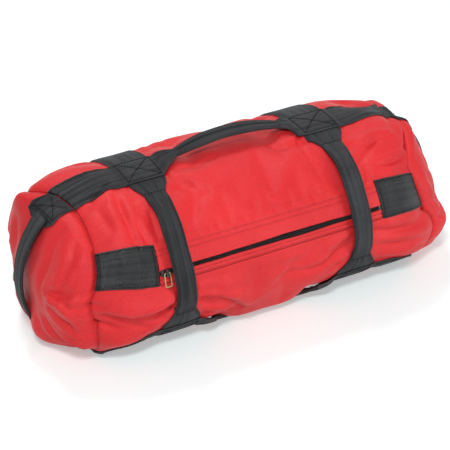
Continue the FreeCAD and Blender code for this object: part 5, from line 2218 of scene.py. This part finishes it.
@dataclass
class Studio:
    """Floor, lamps, world and the camera of the photograph."""

    turn: float = 25.64
    height: float = 32.64
    roll: float = -1.8
    distance: float = 2209.0
    target: tuple = (0.0, 4.71, BODY_Z)
    lens: float = 138.3
    sensor: float = 36.0
    shift: tuple = (-0.0090, -0.0232)
    floor: tuple = (0.80, 0.90, 0.90, 1)
    bright_from: tuple = (0.9, 3.0)
    glow: tuple = (0.34, 1.0)
    daylight: float = 0.32
    lamps: tuple = (
        Lamp("front_key", (-0.9, -1.6, 2.2), 0.4, 34.0),
        Lamp("top_key", (0.0, 1.0, 2.3), 0.6, 19.0),
        Lamp("right_fill", (1.5, -2.4, 0.7), 0.9, 22.0),
    )

    def build(self) -> None:
        """Sets up everything that isn't part of the bag."""
        scene = bpy.context.scene
        scene.view_settings.view_transform = "Standard"
        self._floor()
        self._world()
        for lamp in self.lamps:
            self._lamp(lamp)
        self._camera()

    @staticmethod
    def _seen(graph: Graph) -> bpy.types.NodeSocket:
        """One for rays whose background should look white, nought for the rest.

        Args:
            graph: nodes of the floor or of the world.

        Returns:
            The number.
        """
        rays = graph.add("ShaderNodeLightPath")
        most = graph.sum("MAXIMUM", rays.outputs["Is Camera Ray"], rays.outputs["Is Glossy Ray"])
        return graph.sum("MAXIMUM", most, rays.outputs["Is Transmission Ray"])

    def _floor(self) -> None:
        """A pale floor that keeps the bag's shadow."""
        side = 9000.0
        corners = np.array(((-side, -side, 0), (side, -side, 0), (side, side, 0), (-side, side, 0)))
        floor = mesh_object("studio_floor", corners, np.array(((0, 1, 2, 3),)))
        material = bpy.data.materials.new("studio_floor_paint")
        graph = Graph.emptied(material)
        matt = graph.add("ShaderNodeBsdfDiffuse", None, {"Color": self.floor})
        away = graph.vector("LENGTH", graph.add("ShaderNodeTexCoord").outputs["Object"]).outputs["Value"]
        shine = graph.sum("MULTIPLY", self._seen(graph), graph.ramp(away, *self.bright_from, *self.glow))
        glow = graph.add("ShaderNodeEmission", None, {"Color": (1, 1, 1, 1), "Strength": shine})
        both = graph.add("ShaderNodeAddShader", None, {0: matt.outputs[0], 1: glow.outputs[0]})
        graph.add("ShaderNodeOutputMaterial", None, {0: both.outputs[0]})
        floor.data.materials.append(material)

    def _world(self) -> None:
        """Even daylight, white where the camera looks past the floor."""
        world = bpy.data.worlds.new("studio_world")
        bpy.context.scene.world = world
        graph = Graph.emptied(world)
        strength = graph.ramp(self._seen(graph), 0.0, 1.0, self.daylight, 1.0)
        glow = graph.add("ShaderNodeBackground", None, {"Color": (1, 1, 1, 1), "Strength": strength})
        graph.add("ShaderNodeOutputWorld", None, {0: glow.outputs[0]})

    def _lamp(self, lamp: Lamp) -> None:
        """One lamp, aimed at the middle of the bag.

        Args:
            lamp: its place, size, power and colour.
        """
        light = bpy.data.lights.new(lamp.name, "AREA")
        light.energy, light.size, light.color = lamp.power, lamp.size, lamp.colour
        made = placed(lamp.name, light)
        made.location = lamp.place
        made.rotation_mode = "QUATERNION"
        made.rotation_quaternion = (Vector((0, 0, BODY_Z * MM)) - Vector(lamp.place)).to_track_quat("-Z", "Y")

    def _camera(self) -> None:
        """The photograph's view, with a 450 by 450 frame in mind."""
        turn, height, roll = (math.radians(value) for value in (self.turn, self.height, self.roll))
        ahead = Vector((math.sin(turn) * math.cos(height), math.cos(turn) * math.cos(height), -math.sin(height)))
        right = Vector((math.cos(turn), -math.sin(turn), 0.0))
        up = right.cross(ahead)
        level = math.cos(roll) * right + math.sin(roll) * up
        upright = -math.sin(roll) * right + math.cos(roll) * up
        camera = bpy.data.cameras.new("photo_camera")
        camera.lens, camera.sensor_width = self.lens, self.sensor
        camera.shift_x, camera.shift_y = self.shift
        camera.clip_start, camera.clip_end = 0.05, 60.0
        made = placed("photo_camera", camera)
        place = Vector(self.target) * MM - ahead * self.distance * MM
        axes = Matrix((level, upright, -ahead)).transposed().to_4x4()
        made.matrix_world = Matrix.Translation(place) @ axes
        bpy.context.scene.camera = made


def main() -> None:
    """Builds the bag piece by piece, then the studio round it."""
    shop = Workshop()
    for assembly in (Shell, Zip, Straps, LongStraps, Patches, EndHandles, Fillers):
        LOG.info("building %s", assembly.__name__)
        assembly(shop).build()
    Studio().build()


if __name__ == "__main__":
    main()
